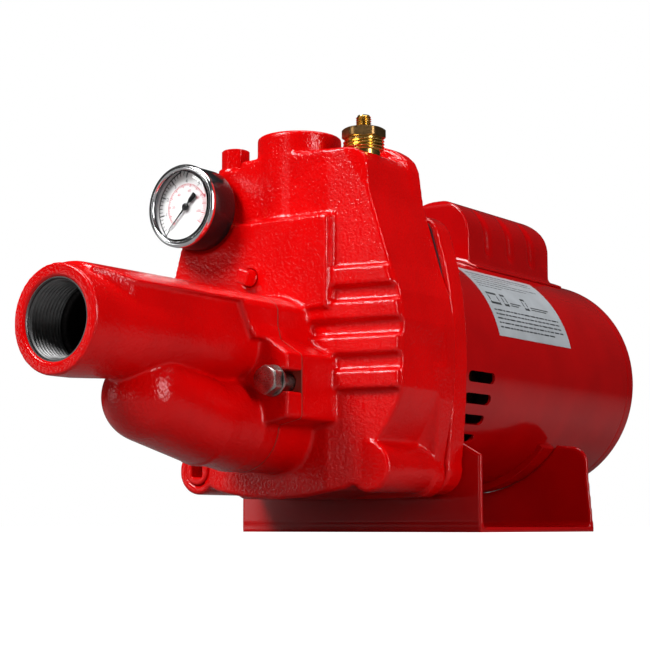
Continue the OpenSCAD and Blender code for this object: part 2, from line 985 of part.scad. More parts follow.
module rear_end_bell() {
  bell_vents = 10;
  color(cast_red)
    difference() {
      turned([
        [0, motor_rear - 0.5], [22, motor_rear - 0.5], [24, motor_rear], [66, motor_rear],
        [69.6, motor_rear - 0.7],
        [shell_r, motor_rear - 2.2], [shell_r, shell_rear + 0.2],
        [shell_inner_r - gap, shell_rear + 0.2], [shell_inner_r - gap, shell_rear - 8], [66, shell_rear - 8],
        [66, motor_rear - 8], [60, motor_rear - 3.5], [25, motor_rear - 3.5], [25, rear_bearing],
        [bearing_r + gap, rear_bearing], [bearing_r + gap, rear_bearing + bearing_w + 1],
        [0, rear_bearing + bearing_w + 1]
      ]);
      for (i = [0 : bell_vents - 1])
        translate([0, 0, shaft_h])
          rotate([0, 18 + i * 360 / bell_vents, 0])
            translate([-3, 470 - foot_station, 34])
              cube([6, 12, 18]);
      through_bolt_row(470, motor_rear + cut, through_r + gap);
    }
}

module stator_core() {
  slots = 24;
  color([0.45, 0.46, 0.5])
    plate(300, 372)
      translate([0, shaft_h])
        difference() {
          circle(shell_inner_r - 0.1);
          circle(rotor_r + 0.6);
          for (i = [0 : slots - 1])
            rotate(i * 360 / slots)
              translate([rotor_r + 3, -2.2])
                square([17, 4.4]);
          for (a = [45 : 90 : 315])
            rotate(a)
              translate([through_circle, 0])
                circle(through_r + 0.2);
        }
}

module stator_windings() {
  color(copper) {
    turned([[42, 279], [52, 279], [56, 284], [56, 298], [40, 298], [40, 282]]);
    turned([[40, 374], [56, 374], [56, 388], [52, 394], [42, 394], [40, 390]]);
  }
}

module rotor_core() {
  bars = 16;
  color([0.55, 0.56, 0.6])
    difference() {
      union() {
        rod(300, 372, rotor_r);
        rod(294, 300, rotor_r - 2);
        rod(372, 378, rotor_r - 2);
        for (i = [0 : 7], y = [289, 377])
          translate([0, 0, shaft_h])
            rotate([0, i * 45, 0])
              translate([-1, y - foot_station, 24])
                cube([2, 6, 8]);
      }
      rod(288, 384, shaft_r);
      for (i = [0 : bars - 1])
        translate([0, 0, shaft_h])
          rotate([0, i * 360 / bars, 0])
            translate([0, 293 - foot_station, 17])
              rotate([-90, 0, 0])
                cylinder(h = 2.5, r = 1.6, $fn = 24);
    }
}

module motor_shaft() {
  color(steel)
    turned([
      [0, 206], [6.4, 206], [6.4, 224], [shaft_r, 224], [shaft_r, 254], [bearing_bore_r, 254],
      [bearing_bore_r, 272], [shaft_r, 272], [shaft_r, 452], [bearing_bore_r, 452],
      [bearing_bore_r, rear_bearing + bearing_w], [0, rear_bearing + bearing_w]
    ]);
}

module water_slinger() {
  color(rubber)
    turned([[shaft_r, 249.3], [shaft_r, 251.3], [11.5, 251.3], [14, 250.5], [14, 250.1], [11, 249.3]]);
}

module bearing_outer(station) {
  color(steel)
    turned([
      [17, station], [bearing_r, station], [bearing_r, station + bearing_w], [17, station + bearing_w],
      [17, station + 8], [17.8, station + 6], [17, station + 4]
    ]);
}

module bearing_inner(station) {
  color(steel)
    turned([
      [bearing_bore_r, station], [11.4, station], [11.4, station + 4], [10.6, station + 6],
      [11.4, station + 8], [11.4, station + bearing_w], [bearing_bore_r, station + bearing_w]
    ]);
}

module ball_set(station) {
  color(steel)
    for (i = [0 : balls - 1])
      translate([0, station + bearing_w / 2 - foot_station, shaft_h])
        rotate([0, i * 360 / balls, 0])
          translate([14.2, 0, 0])
            sphere(3.2, $fn = 48);
}

module front_bearing_outer() {
  bearing_outer(front_bearing);
}

module front_bearing_inner() {
  bearing_inner(front_bearing);
}

module front_bearing_balls() {
  ball_set(front_bearing);
}

module rear_bearing_outer() {
  bearing_outer(rear_bearing);
}

module rear_bearing_inner() {
  bearing_inner(rear_bearing);
}

module rear_bearing_balls() {
  ball_set(rear_bearing);
}

module cooling_fan() {
  blades = 9;
  color(black) {
    turned([[shaft_r, 398], [14, 398], [14, 410], [shaft_r, 410]]);
    for (i = [0 : blades - 1])
      translate([0, 0, shaft_h])
        rotate([0, i * 360 / blades, 0])
          translate([0, 404 - foot_station, 13])
            rotate([0, 0, 32])
              translate([-1, -5.5, 0])
                cube([2, 11, 38]);
  }
}

pivot_x = 21;
pivot_station = governor_station + 10;
pivot_r = 1.2;

// Plate fixed to the shaft; its fork cheeks carry the two weights
module governor_plate() {
  color(steel)
    difference() {
      union() {
        turned([
          [shaft_r, governor_station], [12, governor_station], [12, governor_station + 4],
          [shaft_r, governor_station + 4]
        ]);
        block([-21.4, 21.4], [governor_station, governor_station + 2], [shaft_h - 8, shaft_h + 8]);
        both_sides()
          for (z = [-7.2, 7.2])
            translate([18, governor_station + 1 - foot_station, shaft_h + z - 0.8])
              cube([5.6, 11, 1.6]);
      }
      rod(governor_station - cut, governor_station + 6, shaft_r);
      both_sides()
        post(pivot_x, pivot_station, shaft_h - 10, shaft_h + 10, pivot_r + gap);
    }
}

// Grooved collar that slides on the shaft
module governor_collar() {
  color([0.85, 0.8, 0.65])
    turned([
      [shaft_r + gap, governor_station + 8], [15, governor_station + 8], [15, governor_station + 9.2],
      [11.5, governor_station + 9.2], [11.5, governor_station + 13], [17, governor_station + 13],
      [17, governor_station + 15], [shaft_r + gap, governor_station + 15]
    ]);
}

// Outboard mass with a pivot pin and a finger that reaches into the groove of the collar
module governor_weight() {
  color(steel) {
    block([pivot_x + 1, pivot_x + 6], [pivot_station - 13, pivot_station + 1], [shaft_h - 6, shaft_h + 6]);
    block([12.2, pivot_x + 2], [pivot_station - 0.4, pivot_station + 1], [shaft_h - 4, shaft_h + 4]);
    post(pivot_x, pivot_station, shaft_h - 7.9, shaft_h + 7.9, pivot_r);
  }
}

module governor_weight_left() {
  mirror([1, 0, 0])
    governor_weight();
}

module governor_weight_right() {
  governor_weight();
}

lever_x = 38;
lever_station = 444.3;
lever_pin_r = 0.9;

module switch_board() {
  color([0.35, 0.22, 0.12])
    difference() {
      union() {
        block([22, 50], [446, 448.5], [shaft_h - 34, shaft_h + 26]);
        block([28, 42], [442, 446.5], [shaft_h - 30, shaft_h - 18]);
        block([28, 42], [442, 446.5], [shaft_h + 10, shaft_h + 22]);
        // standoffs to the rear bell
        for (z = [-18, 18])
          block([40, 44], [448, motor_rear - 3.55], [shaft_h + z - 3, shaft_h + z + 3]);
        // hinge ears of the lever
        for (z = [-6, 6])
          block([36, 40], [442.8, 446.5], [shaft_h + z - 1, shaft_h + z + 1]);
      }
      post(lever_x, lever_station, shaft_h - 8, shaft_h + 8, lever_pin_r + gap);
    }
}

module switch_lever() {
  color([0.9, 0.75, 0.35]) {
    block([12, 39.5], [443.6, 445], [shaft_h - 4, shaft_h + 4]);
    post(lever_x, lever_station, shaft_h - 6.9, shaft_h + 6.9, lever_pin_r);
  }
}

module terminal_cover() {
  color(cast_red)
    block([-28, 28], [motor_rear, motor_rear + 1.5], [130, 158]);
}

module terminal_cover_screws() {
  color(steel)
    for (x = [-22, 22])
      rod(motor_rear + 1.5, motor_rear + 4, 3.5, x, 144);
}

module through_bolt_row(y0, y1, r) {
  for (a = [45 : 90 : 315])
    rod(y0, y1, r, through_circle * cos(a), shaft_h + through_circle * sin(a));
}

// Long bolts that hold the two ends of the motor to the shell, with nuts at the rear
module through_bolts() {
  color(steel) {
    through_bolt_row(252.5, motor_rear + 4.5, through_r);
    for (a = [45 : 90 : 315])
      translate([through_circle * cos(a), motor_rear - foot_station, shaft_h + through_circle * sin(a)])
        rotate([-90, 0, 0])
          cylinder(h = 3.4, r = 4.4, $fn = 6);
  }
}

// ---------- capacitor ----------

cover_front = 341;
cover_rear = 448;
cover_half = 24;
cover_top = 210.5;
cover_floor = 158;

// Arched section of the cover, drawn from the floor up
module cover_section(reduce) {
  r = cover_half - reduce;
  intersection() {
    union() {
      translate([0, cover_top - cover_half])
        circle(r);
      translate([-r, cover_floor])
        square([2 * r, cover_top - cover_half - cover_floor]);
    }
    translate([-60, cover_floor])
      square([120, 80]);
  }
}

// Side view of the cover, rounded at its front and rear top corners
module cover_profile(reduce) {
  front = cover_front + reduce;
  rear = cover_rear - reduce;
  top = cover_top - reduce;
  translate([-60, -foot_station, 0])
    rotate([90, 0, 90])
      linear_extrude(120)
        polygon(concat(
          [[front, cover_floor], [rear, cover_floor]],
          arc([rear - 14, top - 14], 14, 0, 90, 6),
          arc([front + 5, top - 5], 5, 90, 180, 4)
        ));
}

module cover_block(reduce) {
  intersection() {
    plate(cover_front - 5, cover_rear + 5)
      cover_section(reduce);
    cover_profile(reduce);
  }
}

module capacitor_cover() {
  wall = 1.5;
  color(cast_red)
    difference() {
      union() {
        cover_block(0);
        // curved flange that lies on the shell
        intersection() {
          rod(cover_front - 0.5, cover_rear + 8, shell_r + wall);
          block([-30, 30], [cover_front - 1, cover_rear + 9], [cover_floor, 180]);
        }
      }
      cover_block(wall);
      rod(300, 480, shell_r + gap);
      post(0, cover_rear + 4, 165, 180, 2);
    }
}

module capacitor_cover_screws() {
  head_z = shaft_h + shell_r + 1.5;
  color(steel) {
    post(0, cover_rear + 4, head_z, head_z + 2.2, 3.4);
    post(0, cover_rear + 4, head_z - 4, head_z + 0.1, 1.9);
  }
}

module start_capacitor() {
  color(black)
    rod(345, 425, 18, 0, 190);
}

module data_label() {
  color(white)
    difference() {
      rod(298, 390, shell_r + 0.3);
      rod(297, 391, shell_r + 0.02);
      translate([0, 0, shaft_h])
        rotate([0, 34, 0])
          translate([-200, -60, -100])
            cube([200, 200, 300]);
      translate([0, 0, shaft_h])
        rotate([0, 78, 0])
          translate([0, -60, -100])
            cube([200, 200, 300]);
    }
}

injector_body();
injector_gasket();
injector_bolts();
injector_washers();
nozzle();
venturi_tube();
venturi_seal_ring();
pump_case();
diffuser();
impeller();
seal_rotary_head();
seal_spring();
seal_seat();
seal_seat_cup();
case_gasket();
motor_adapter();
case_bolts();
prime_plug();
vent_plug();
drain_plug();
switch_fitting();
gauge_socket();
gauge_case();
gauge_bezel();
gauge_lens();
gauge_dial();
gauge_pointer();
gauge_sector();
gauge_bourdon_tube();
motor_shell();
front_bearing_housing();
rear_end_bell();
stator_core();
stator_windings();
rotor_core();
motor_shaft();
water_slinger();
front_bearing_outer();
front_bearing_inner();
front_bearing_balls();
rear_bearing_outer();
rear_bearing_inner();
rear_bearing_balls();
cooling_fan();
governor_plate();
governor_collar();
governor_weight_left();
governor_weight_right();
switch_board();
switch_lever();
terminal_cover();
terminal_cover_screws();
through_bolts();
capacitor_cover();
capacitor_cover_screws();
start_capacitor();
data_label();
motor_foot();
saddle_pad();
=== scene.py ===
"""Looks of the shallow well jet pump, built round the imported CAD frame."""

import json
import math
import random

import bmesh
import bpy
import numpy as np
import openvdb as vdb
from mathutils import Matrix, Vector


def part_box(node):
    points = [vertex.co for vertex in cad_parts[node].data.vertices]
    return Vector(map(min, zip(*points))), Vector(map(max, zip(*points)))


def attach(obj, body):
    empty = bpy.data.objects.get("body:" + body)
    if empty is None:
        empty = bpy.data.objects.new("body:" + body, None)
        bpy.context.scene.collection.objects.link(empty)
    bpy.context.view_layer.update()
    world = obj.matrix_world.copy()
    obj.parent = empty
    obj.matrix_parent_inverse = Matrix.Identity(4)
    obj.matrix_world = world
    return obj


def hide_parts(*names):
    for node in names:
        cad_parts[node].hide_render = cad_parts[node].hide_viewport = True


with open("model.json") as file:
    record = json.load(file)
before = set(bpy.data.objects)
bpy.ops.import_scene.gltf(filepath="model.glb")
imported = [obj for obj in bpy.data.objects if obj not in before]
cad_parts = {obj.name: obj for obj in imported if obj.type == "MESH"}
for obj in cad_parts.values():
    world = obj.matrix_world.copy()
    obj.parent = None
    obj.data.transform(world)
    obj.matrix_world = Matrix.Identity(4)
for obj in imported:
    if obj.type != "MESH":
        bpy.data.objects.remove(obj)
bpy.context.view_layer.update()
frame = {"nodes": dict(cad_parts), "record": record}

MM = 0.001
ROOT = "pump_frame"
record = frame["record"]
joints = {j["name"]: j for j in record["behaviour"]["joints"]}
mounts = {m["name"]: m for m in record["mounts"]}
body_of_node = {n: b for b, ns in record["behaviour"]["bodies"].items() for n in ns}
slot_of_node = {s["node"]: s["material_slot"] for s in record["subparts"]}
Y_AXIS = Vector((0, 1, 0))
Z_AXIS = Vector((0, 0, 1))
X, Y, Z = 0, 1, 2

# voxel size, radius of hollow corners and radius of outer edges, in millimetres
ROUNDING = {
    "injector_body": (0.7, 0.7, 0.8),
    "pump_case": (0.8, 1.2, 1.3),
    "motor_adapter": (0.9, 2.0, 1.3),
    "vent_plug": (0.35, 0.4, 0.7),
    "drain_plug": (0.45, 0.5, 0.6),
    "rear_end_bell": (0.7, 1.0, 0.9),
    "capacitor_cover": (0.5, 2.2, 0.3),
    "motor_foot": (0.7, 2.4, 0.9),
}
PLANE_REACH = 0.02
CAST_CREASE = 50


# ---------- mesh helpers (all lengths in millimetres) ----------


def node_surface(name):
    """Points in millimetres and triangles of a CAD node."""
    mesh = frame["nodes"][name].data
    mesh.calc_loop_triangles()
    points = np.empty(len(mesh.vertices) * 3, np.float32)
    mesh.vertices.foreach_get("co", points)
    triangles = np.empty(len(mesh.loop_triangles) * 3, np.int32)
    mesh.loop_triangles.foreach_get("vertices", triangles)
    return points.reshape(-1, 3) / MM, triangles.reshape(-1, 3).astype(np.uint32)


def make_object(name, points, faces, smooth=True, creases=40):
    """A new object from points in millimetres and lists of vertex indices."""
    mesh = bpy.data.meshes.new(name)
    mesh.from_pydata((np.asarray(points, float) * MM).tolist(), [], faces)
    mesh.validate()
    mesh.update()
    obj = bpy.data.objects.new(name, mesh)
    bpy.context.scene.collection.objects.link(obj)
    if smooth:
        mesh.shade_smooth()
        if creases:
            mesh.set_sharp_from_angle(angle=math.radians(creases))
    return obj


def face_outward(obj):
    """Turns the faces of a closed mesh to point outward."""
    bm = bmesh.new()
    bm.from_mesh(obj.data)
    bmesh.ops.recalc_face_normals(bm, faces=bm.faces)
    if bm.calc_volume(signed=True) < 0:
        bmesh.ops.reverse_faces(bm, faces=bm.faces)
    bm.to_mesh(obj.data)
    bm.free()


def offset_surface(points, triangles, quads, voxel, amount):
    """Moves a closed surface outward by amount, through a distance field."""
    grid = vdb.FloatGrid.createLevelSetFromPolygons(
        np.ascontiguousarray(points, np.float32),
        triangles=triangles,
        quads=quads,
        transform=vdb.createLinearTransform(voxelSize=voxel),
        halfWidth=abs(amount) / voxel + 2,
    )
    return grid.convertToPolygons(isovalue=amount)


def rounded_surface(points, triangles, voxel, fillet, edge):
    """Fillets hollow corners to one radius and rounds outer edges to another."""
    quads = np.empty((0, 4), np.uint32)
    surface = points, triangles, quads
    for amount in (fillet, -fillet - edge, edge):
        surface = offset_surface(*surface, voxel, amount)
    return surface


def stretch_plane(points, axis, place, by):
    """Moves one flat face along its normal, so that its rounded rim can be cut off again."""
    points = points.copy()
    on_plane = np.abs(points[:, axis] - place) < PLANE_REACH
    points[on_plane, axis] += by
    return points


def cut_plane(bm, axis, place, keep_below):
    """Cuts a closed mesh at a plane and closes it again."""
    normal = Vector((0, 0, 0))
    normal[axis] = 1.0 if keep_below else -1.0
    spot = Vector((0, 0, 0))
    spot[axis] = place * MM
    geometry = bm.verts[:] + bm.edges[:] + bm.faces[:]
    bmesh.ops.bisect_plane(bm, geom=geometry, plane_co=spot, plane_no=normal, clear_outer=True, dist=1e-7)
    rim = [e for e in bm.edges if e.is_boundary]
    bmesh.ops.triangle_fill(bm, use_beauty=True, use_dissolve=False, edges=rim)


def solid_rod(centre, radius, z0, z1):
    """Points and triangles of an upright closed cylinder, used to fill a bore that holds a fixed piece."""
    count = 48
    turns = np.arange(count) * 2 * np.pi / count
    ring = np.stack([centre[0] + radius * np.cos(turns), centre[1] + radius * np.sin(turns)], 1)
    points = np.vstack([np.column_stack([ring, np.full(count, z)]) for z in (z0, z1)])
    points = np.vstack([points, [[*centre, z0], [*centre, z1]]])
    faces = []
    for k in range(count):
        n = (k + 1) % count
        faces += [(k, n, count + n), (k, count + n, count + k)]
        faces += [(n, k, 2 * count), (count + k, count + n, 2 * count + 1)]
    return points.astype(np.float32), np.array(faces, np.uint32)


def casting(name, node, planes=(), warp=None, fills=()):
    """A painted casting or pressing: the CAD node with fillets and soft edges.

    planes lists flat faces that stay crisp, as (axis, place, stretch).
    """
    points, triangles = node_surface(node)
    for axis, place, by in planes:
        points = stretch_plane(points, axis, place, by)
    for rod_points, rod_triangles in fills:
        triangles = np.vstack([triangles, rod_triangles + len(points)])
        points = np.vstack([points, rod_points])
    points, triangles, quads = rounded_surface(points, triangles, *ROUNDING[node])
    if warp:
        points = warp(points)
    obj = make_object(name, points, triangles.tolist() + quads.tolist(), creases=None)
    bm = bmesh.new()
    bm.from_mesh(obj.data)
    if bm.calc_volume(signed=True) < 0:
        bmesh.ops.reverse_faces(bm, faces=bm.faces)
    for axis, place, by in planes:
        cut_plane(bm, axis, place, keep_below=by > 0)
    bm.to_mesh(obj.data)
    bm.free()
    obj.data.shade_smooth()
    if planes:
        obj.data.set_sharp_from_angle(angle=math.radians(CAST_CREASE))
    return stand_for(obj, node)


def line_bore(obj, look, axis, centre, radius, low, high):
    """Gives the faces inside a round bore their own dark material: partly bare metal that the paint leaves
    out, partly painted shade deep inside the bore.
    """
    obj.data.materials.append(look)
    mesh = obj.data
    middles = np.empty(len(mesh.polygons) * 3, np.float32)
    mesh.polygons.foreach_get("center", middles)
    middles = middles.reshape(-1, 3) / MM
    across = [i for i in range(3) if i != axis]
    away = np.hypot(middles[:, across[0]] - centre[across[0]], middles[:, across[1]] - centre[across[1]])
    inside = (away < radius) & (middles[:, axis] > low) & (middles[:, axis] < high)
    marks = np.zeros(len(mesh.polygons), np.int32)
    mesh.polygons.foreach_get("material_index", marks)
    marks[inside] = len(mesh.materials) - 1
    mesh.polygons.foreach_set("material_index", marks)


def stand_for(obj, *nodes):
    """The piece stands for CAD nodes: it rides on their body and hides them."""
    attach(obj, body_of_node[nodes[0]])
    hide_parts(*nodes)
    return obj


def frame_of(axis):
    """Two unit vectors square to an axis."""
    side = Vector((1, 0, 0)) if abs(axis.x) < 0.9 else Vector((0, 0, 1))
    u = axis.cross(side).normalized()
    return u, axis.cross(u).normalized()


def ring_mesh(name, rings, centre, axis, segments, closed_ends=True, looped=False, creases=40):
    """A mesh from rings. A ring is a radius and a height along the axis, each a number or a function."""
    u, v = frame_of(axis)
    centre = Vector(centre)
    points = []
    for radius, height in rings:
        for k in range(segments):
            angle = 2 * math.pi * k / segments
            r = radius(angle) if callable(radius) else radius
            h = height(angle) if callable(height) else height
            points.append(centre + axis * h + (u * math.cos(angle) + v * math.sin(angle)) * r)
    faces = []
    count = len(rings)
    for i in range(count if looped else count - 1):
        a, b = i * segments, ((i + 1) % count) * segments
        for k in range(segments):
            n = (k + 1) % segments
            faces.append((a + k, a + n, b + n, b + k))
    if closed_ends and not looped:
        for i, ring in ((0, list(range(segments - 1, -1, -1))), (count - 1, list(range(segments)))):
            hub = len(points)
            middle = sum((points[i * segments + k] for k in range(segments)), Vector()) / segments
            points.append(middle)
            for k in range(segments):
                a, b = ring[k], ring[(k + 1) % segments]
                faces.append((i * segments + a, i * segments + b, hub))
    obj = make_object(name, points, faces, creases=creases)
    face_outward(obj)
    return obj


def hexagon_radius(flats, soft=0.06):
    """Radius of a hexagon by angle, its corners slightly rounded."""
    def radius(angle):
        part = (angle % (math.pi / 3)) - math.pi / 6
        corner = flats / 2 / math.cos(part)
        limit = flats / math.sqrt(3) * (1 - soft)
        return min(corner, limit + (corner - limit) * 0.35) if corner > limit else corner
    return radius


def hex_rings(flats, low, high, chamfer_low=False, dome=0.0, steps=5):
    """Rings of a hexagon with the corners turned down at 30 degrees."""
    wall = hexagon_radius(flats)
    crown = flats / 2 * 0.95
    fall = math.tan(math.radians(28))

    def drop(radius):
        return max(0.0, radius - crown) * fall

    rings = []
    if chamfer_low:
        rings.append((crown, low))
        for i in range(1, steps + 1):
            share = i / steps
            rings.append((
                lambda a, s=share: crown + (wall(a) - crown) * s,
                lambda a, s=share: low + drop(crown + (wall(a) - crown) * s),
            ))
    else:
        rings.append((wall, low))
    for i in range(steps, 0, -1):
        share = i / steps
        rings.append((
            lambda a, s=share: crown + (wall(a) - crown) * s,
            lambda a, s=share: high - drop(crown + (wall(a) - crown) * s),
        ))
    for i in range(steps, 0, -1):
        r = crown * i / steps
        rings.append((r, high + dome * (1 - (i / steps) ** 2)))
    return rings


def thread_wave(phase):
    """Height of a pipe thread flank, 0 at the root and 1 at the crest."""
    part = phase % 1.0
    wave = 1 - abs(2 * part - 1)
    return min(1.0, max(0.0, (wave - 0.1) / 0.8))


def thread_rings(r_root, depth, pitch, low, high, fade=0.8, steps=10, taper=0.0):
    """Rings of a screw thread that fades in and out over its first and last turns."""
    count = max(2, int((high - low) / pitch * steps))
    rings = []
    for i in range(count + 1):
        h = low + (high - low) * i / count
        share = min(1.0, (h - low) / (fade * pitch), (high - h) / (fade * pitch))

        def radius(angle, h=h, share=max(0.0, share)):
            return r_root - taper * (h - low) + depth * share * thread_wave(h / pitch - angle / (2 * math.pi))

        rings.append((radius, h))
    return rings


def join(name, *objs):
    """Joins meshes into one piece."""
    bm = bmesh.new()
    for obj in objs:
        bm.from_mesh(obj.data)
    mesh = bpy.data.meshes.new(name)
    bm.to_mesh(mesh)
    bm.free()
    for obj in objs:
        bpy.data.objects.remove(obj)
    piece = bpy.data.objects.new(name, mesh)
    bpy.context.scene.collection.objects.link(piece)
    return piece


def apply_modifier(obj, kind, **settings):
    """Adds a modifier, applies it and keeps only the mesh."""
    modifier = obj.modifiers.new(kind, kind)
    for key, value in settings.items():
        setattr(modifier, key, value)
    depsgraph = bpy.context.evaluated_depsgraph_get()
    mesh = bpy.data.meshes.new_from_object(obj.evaluated_get(depsgraph))
    obj.modifiers.remove(modifier)
    obj.data = mesh
    return obj


# ---------- materials ----------


class Nodes:
    """Short names for building a node material."""

    def __init__(self, name):
        self.material = bpy.data.materials.new(name)
        self.material.use_nodes = True
        self.tree = self.material.node_tree
        self.tree.nodes.clear()
        self.bsdf = self.add("ShaderNodeBsdfPrincipled")
        self.out = self.add("ShaderNodeOutputMaterial")
        self.link(self.bsdf, "BSDF", self.out, "Surface")
        self.place = self.add("ShaderNodeTexCoord")

    def add(self, kind, **values):
        node = self.tree.nodes.new(kind)
        for key, value in values.items():
            setattr(node, key, value)
        return node

    def link(self, source, output, target, entry):
        self.tree.links.new(source.outputs[output], target.inputs[entry])

    def set(self, **values):
        for key, value in values.items():
            self.bsdf.inputs[key.replace("_", " ").title() if key != "ior" else "IOR"].default_value = value

    def noise(self, size, detail=2.0, rough=0.5, stretch=(1, 1, 1)):
        """Noise with features of one size in millimetres."""
        mapping = self.add("ShaderNodeMapping")
        mapping.inputs["Scale"].default_value = stretch
        self.link(self.place, "Object", mapping, "Vector")
        texture = self.add("ShaderNodeTexNoise")
        texture.inputs["Scale"].default_value = 1 / (size * MM)
        texture.inputs["Detail"].default_value = detail
        texture.inputs["Roughness"].default_value = rough
        self.link(mapping, "Vector", texture, "Vector")
        return texture

    def ramp(self, source, output, low, high, first, last):
        """A value turned into a range of numbers."""
        spread = self.add("ShaderNodeMapRange")
        spread.inputs["From Min"].default_value = low
        spread.inputs["From Max"].default_value = high
        spread.inputs["To Min"].default_value = first
        spread.inputs["To Max"].default_value = last
        self.link(source, output, spread, "Value")
        return spread

    def mix(self, factor, output, colour_a, colour_b):
        mixer = self.add("ShaderNodeMix", data_type="RGBA")
        mixer.inputs[6].default_value = (*colour_a, 1)
        mixer.inputs[7].default_value = (*colour_b, 1)
        self.link(factor, output, mixer, "Factor")
        return mixer

    def bump(self, *layers):
        """Bumps stacked from (texture, output, height in millimetres)."""
        before = None
        for texture, output, height in layers:
            bump = self.add("ShaderNodeBump")
            bump.inputs["Strength"].default_value = 1.0
            bump.inputs["Distance"].default_value = height * MM
            self.link(texture, output, bump, "Height")
            if before:
                self.link(before, "Normal", bump, "Normal")
            before = bump
        self.link(before, "Normal", self.bsdf, "Normal")
        return before


def paint_material(name, colour, rough, grain, grain_height, coat):
    """Glossy paint over metal: fine grain, broad waviness and slight colour drift."""
    m = Nodes(name)
    drift = m.noise(30, 3)
    share = m.ramp(drift, "Fac", 0.35, 0.65, 0, 1)
    deep = tuple(c * 0.86 for c in colour)
    tone = m.mix(share, "Result", deep, colour)
    m.link(tone, 2, m.bsdf, "Base Color")
    fine = m.noise(grain, 2, 0.5)
    wave = m.noise(7, 2)
    m.link(m.ramp(fine, "Fac", 0.3, 0.7, rough * 0.8, rough * 1.25), "Result", m.bsdf, "Roughness")
    m.bump((wave, "Fac", grain_height * 0.6), (fine, "Fac", grain_height))
    m.set(coat_weight=coat, coat_roughness=rough * 0.4, ior=1.4)
    return m.material


def metal_material(name, colour, rough, grain, streak=(1, 1, 1), height=0.01, stain=0.75):
    """Bare or plated metal with fine tool streaks and cloudy tarnish."""
    m = Nodes(name)
    cloud = m.noise(6, 4, 0.6)
    tone = m.mix(m.ramp(cloud, "Fac", 0.35, 0.7, 0, 1), "Result", tuple(c * stain for c in colour), colour)
    m.link(tone, 2, m.bsdf, "Base Color")
    fine = m.noise(grain, 3, 0.6, streak)
    m.link(m.ramp(fine, "Fac", 0.3, 0.7, rough * 0.7, rough * 1.35), "Result", m.bsdf, "Roughness")
    m.bump((fine, "Fac", height))
    m.set(metallic=1.0)
    return m.material


def plastic_material(name, colour, rough, grain=0.6, height=0.02, coat=0.0):
    """Moulded plastic, rubber or film with a fine skin."""
    m = Nodes(name)
    cloud = m.noise(12, 3)
    tone = m.mix(m.ramp(cloud, "Fac", 0.3, 0.7, 0, 1), "Result", tuple(c * 0.85 for c in colour), colour)
    m.link(tone, 2, m.bsdf, "Base Color")
    fine = m.noise(grain, 3, 0.6)
    m.link(m.ramp(fine, "Fac", 0.3, 0.7, rough * 0.85, rough * 1.15), "Result", m.bsdf, "Roughness")
    m.bump((fine, "Fac", height))
    m.set(coat_weight=coat, coat_roughness=0.1)
    return m.material


def layered_material(name, colour, pitch):
    """Steel laminations: fine light and dark lines across the shaft direction."""
    m = Nodes(name)
    wave = m.add("ShaderNodeTexWave", bands_direction="Y")
    wave.inputs["Scale"].default_value = 0.31 / (pitch * MM)
    m.link(m.place, "Object", wave, "Vector")
    tone = m.mix(wave, "Fac", tuple(c * 0.6 for c in colour), colour)
    m.link(tone, 2, m.bsdf, "Base Color")
    m.bump((wave, "Fac", 0.05))
    m.set(metallic=0.9, roughness=0.45)
    return m.material


def glass_material(name):
    """Clear window with a faint smear."""
    m = Nodes(name)
    smear = m.noise(8, 3)
    m.link(m.ramp(smear, "Fac", 0.4, 0.7, 0.0, 0.04), "Result", m.bsdf, "Roughness")
    m.set(transmission_weight=1.0, ior=1.3)
    clear = m.add("ShaderNodeBsdfTransparent")
    mixer = m.add("ShaderNodeMixShader")
    light = m.add("ShaderNodeLightPath")
    m.link(light, "Is Shadow Ray", mixer, "Fac")
    m.link(m.bsdf, "BSDF", mixer, 1)
    m.link(clear, "BSDF", mixer, 2)
    m.link(mixer, "Shader", m.out, "Surface")
    return m.material


CAST_RED = (0.76, 0.0004, 0.0008)
SHEET_RED = (0.5, 0.0005, 0.0014)

looks = {
    "cast_red_paint": paint_material("cast_red_paint", CAST_RED, 0.15, 1.5, 0.34, 0.0),
    "sheet_red_paint": paint_material("sheet_red_paint", SHEET_RED, 0.13, 0.6, 0.006, 0.2),
    "zinc_steel": metal_material("zinc_steel", (0.6, 0.56, 0.53), 0.3, 0.5, height=0.02, stain=0.45),
    "plain_steel": metal_material("plain_steel", (0.55, 0.55, 0.57), 0.25, 0.2, (1, 8, 1)),
    "core_steel": layered_material("core_steel", (0.1, 0.1, 0.11), 0.5),
    "brass": metal_material("brass", (0.9, 0.6, 0.17), 0.22, 0.4, height=0.006, stain=0.6),
    "black_plastic": plastic_material("black_plastic", (0.03, 0.03, 0.032), 0.45),
    "gauge_black": plastic_material("gauge_black", (0.006, 0.007, 0.008), 0.24, 0.5, 0.004, 0.3),
    "gauge_chrome": metal_material("gauge_chrome", (0.9, 0.9, 0.91), 0.14, 0.3, height=0.002, stain=0.85),
    "gauge_glass": glass_material("gauge_glass"),
    "gauge_white": plastic_material("gauge_white", (0.82, 0.82, 0.82), 0.5, 0.3, 0.004),
    "rubber": plastic_material("rubber", (0.02, 0.02, 0.02), 0.65, 0.8, 0.05),
    "gasket_sheet": plastic_material("gasket_sheet", (0.32, 0.02, 0.008), 0.6, 0.4, 0.05),
    "ceramic": plastic_material("ceramic", (0.8, 0.77, 0.7), 0.2),
    "carbon": plastic_material("carbon", (0.04, 0.04, 0.045), 0.4),
    "winding_copper": metal_material("winding_copper", (0.2, 0.07, 0.03), 0.35, 0.8, (1, 1, 1), 0.2),
    "housing_alloy": metal_material("housing_alloy", (0.12, 0.12, 0.125), 0.5, 0.9, height=0.06),
    "board": plastic_material("board", (0.2, 0.11, 0.05), 0.5),
    "capacitor_case": plastic_material("capacitor_case", (0.04, 0.04, 0.045), 0.3),
    "label_film": plastic_material("label_film", (0.5, 0.53, 0.56), 0.35, 0.5, 0.004, 0.2),
}
thread_iron = metal_material("thread_iron", (0.2, 0.2, 0.2), 0.45, 0.5, height=0.03)
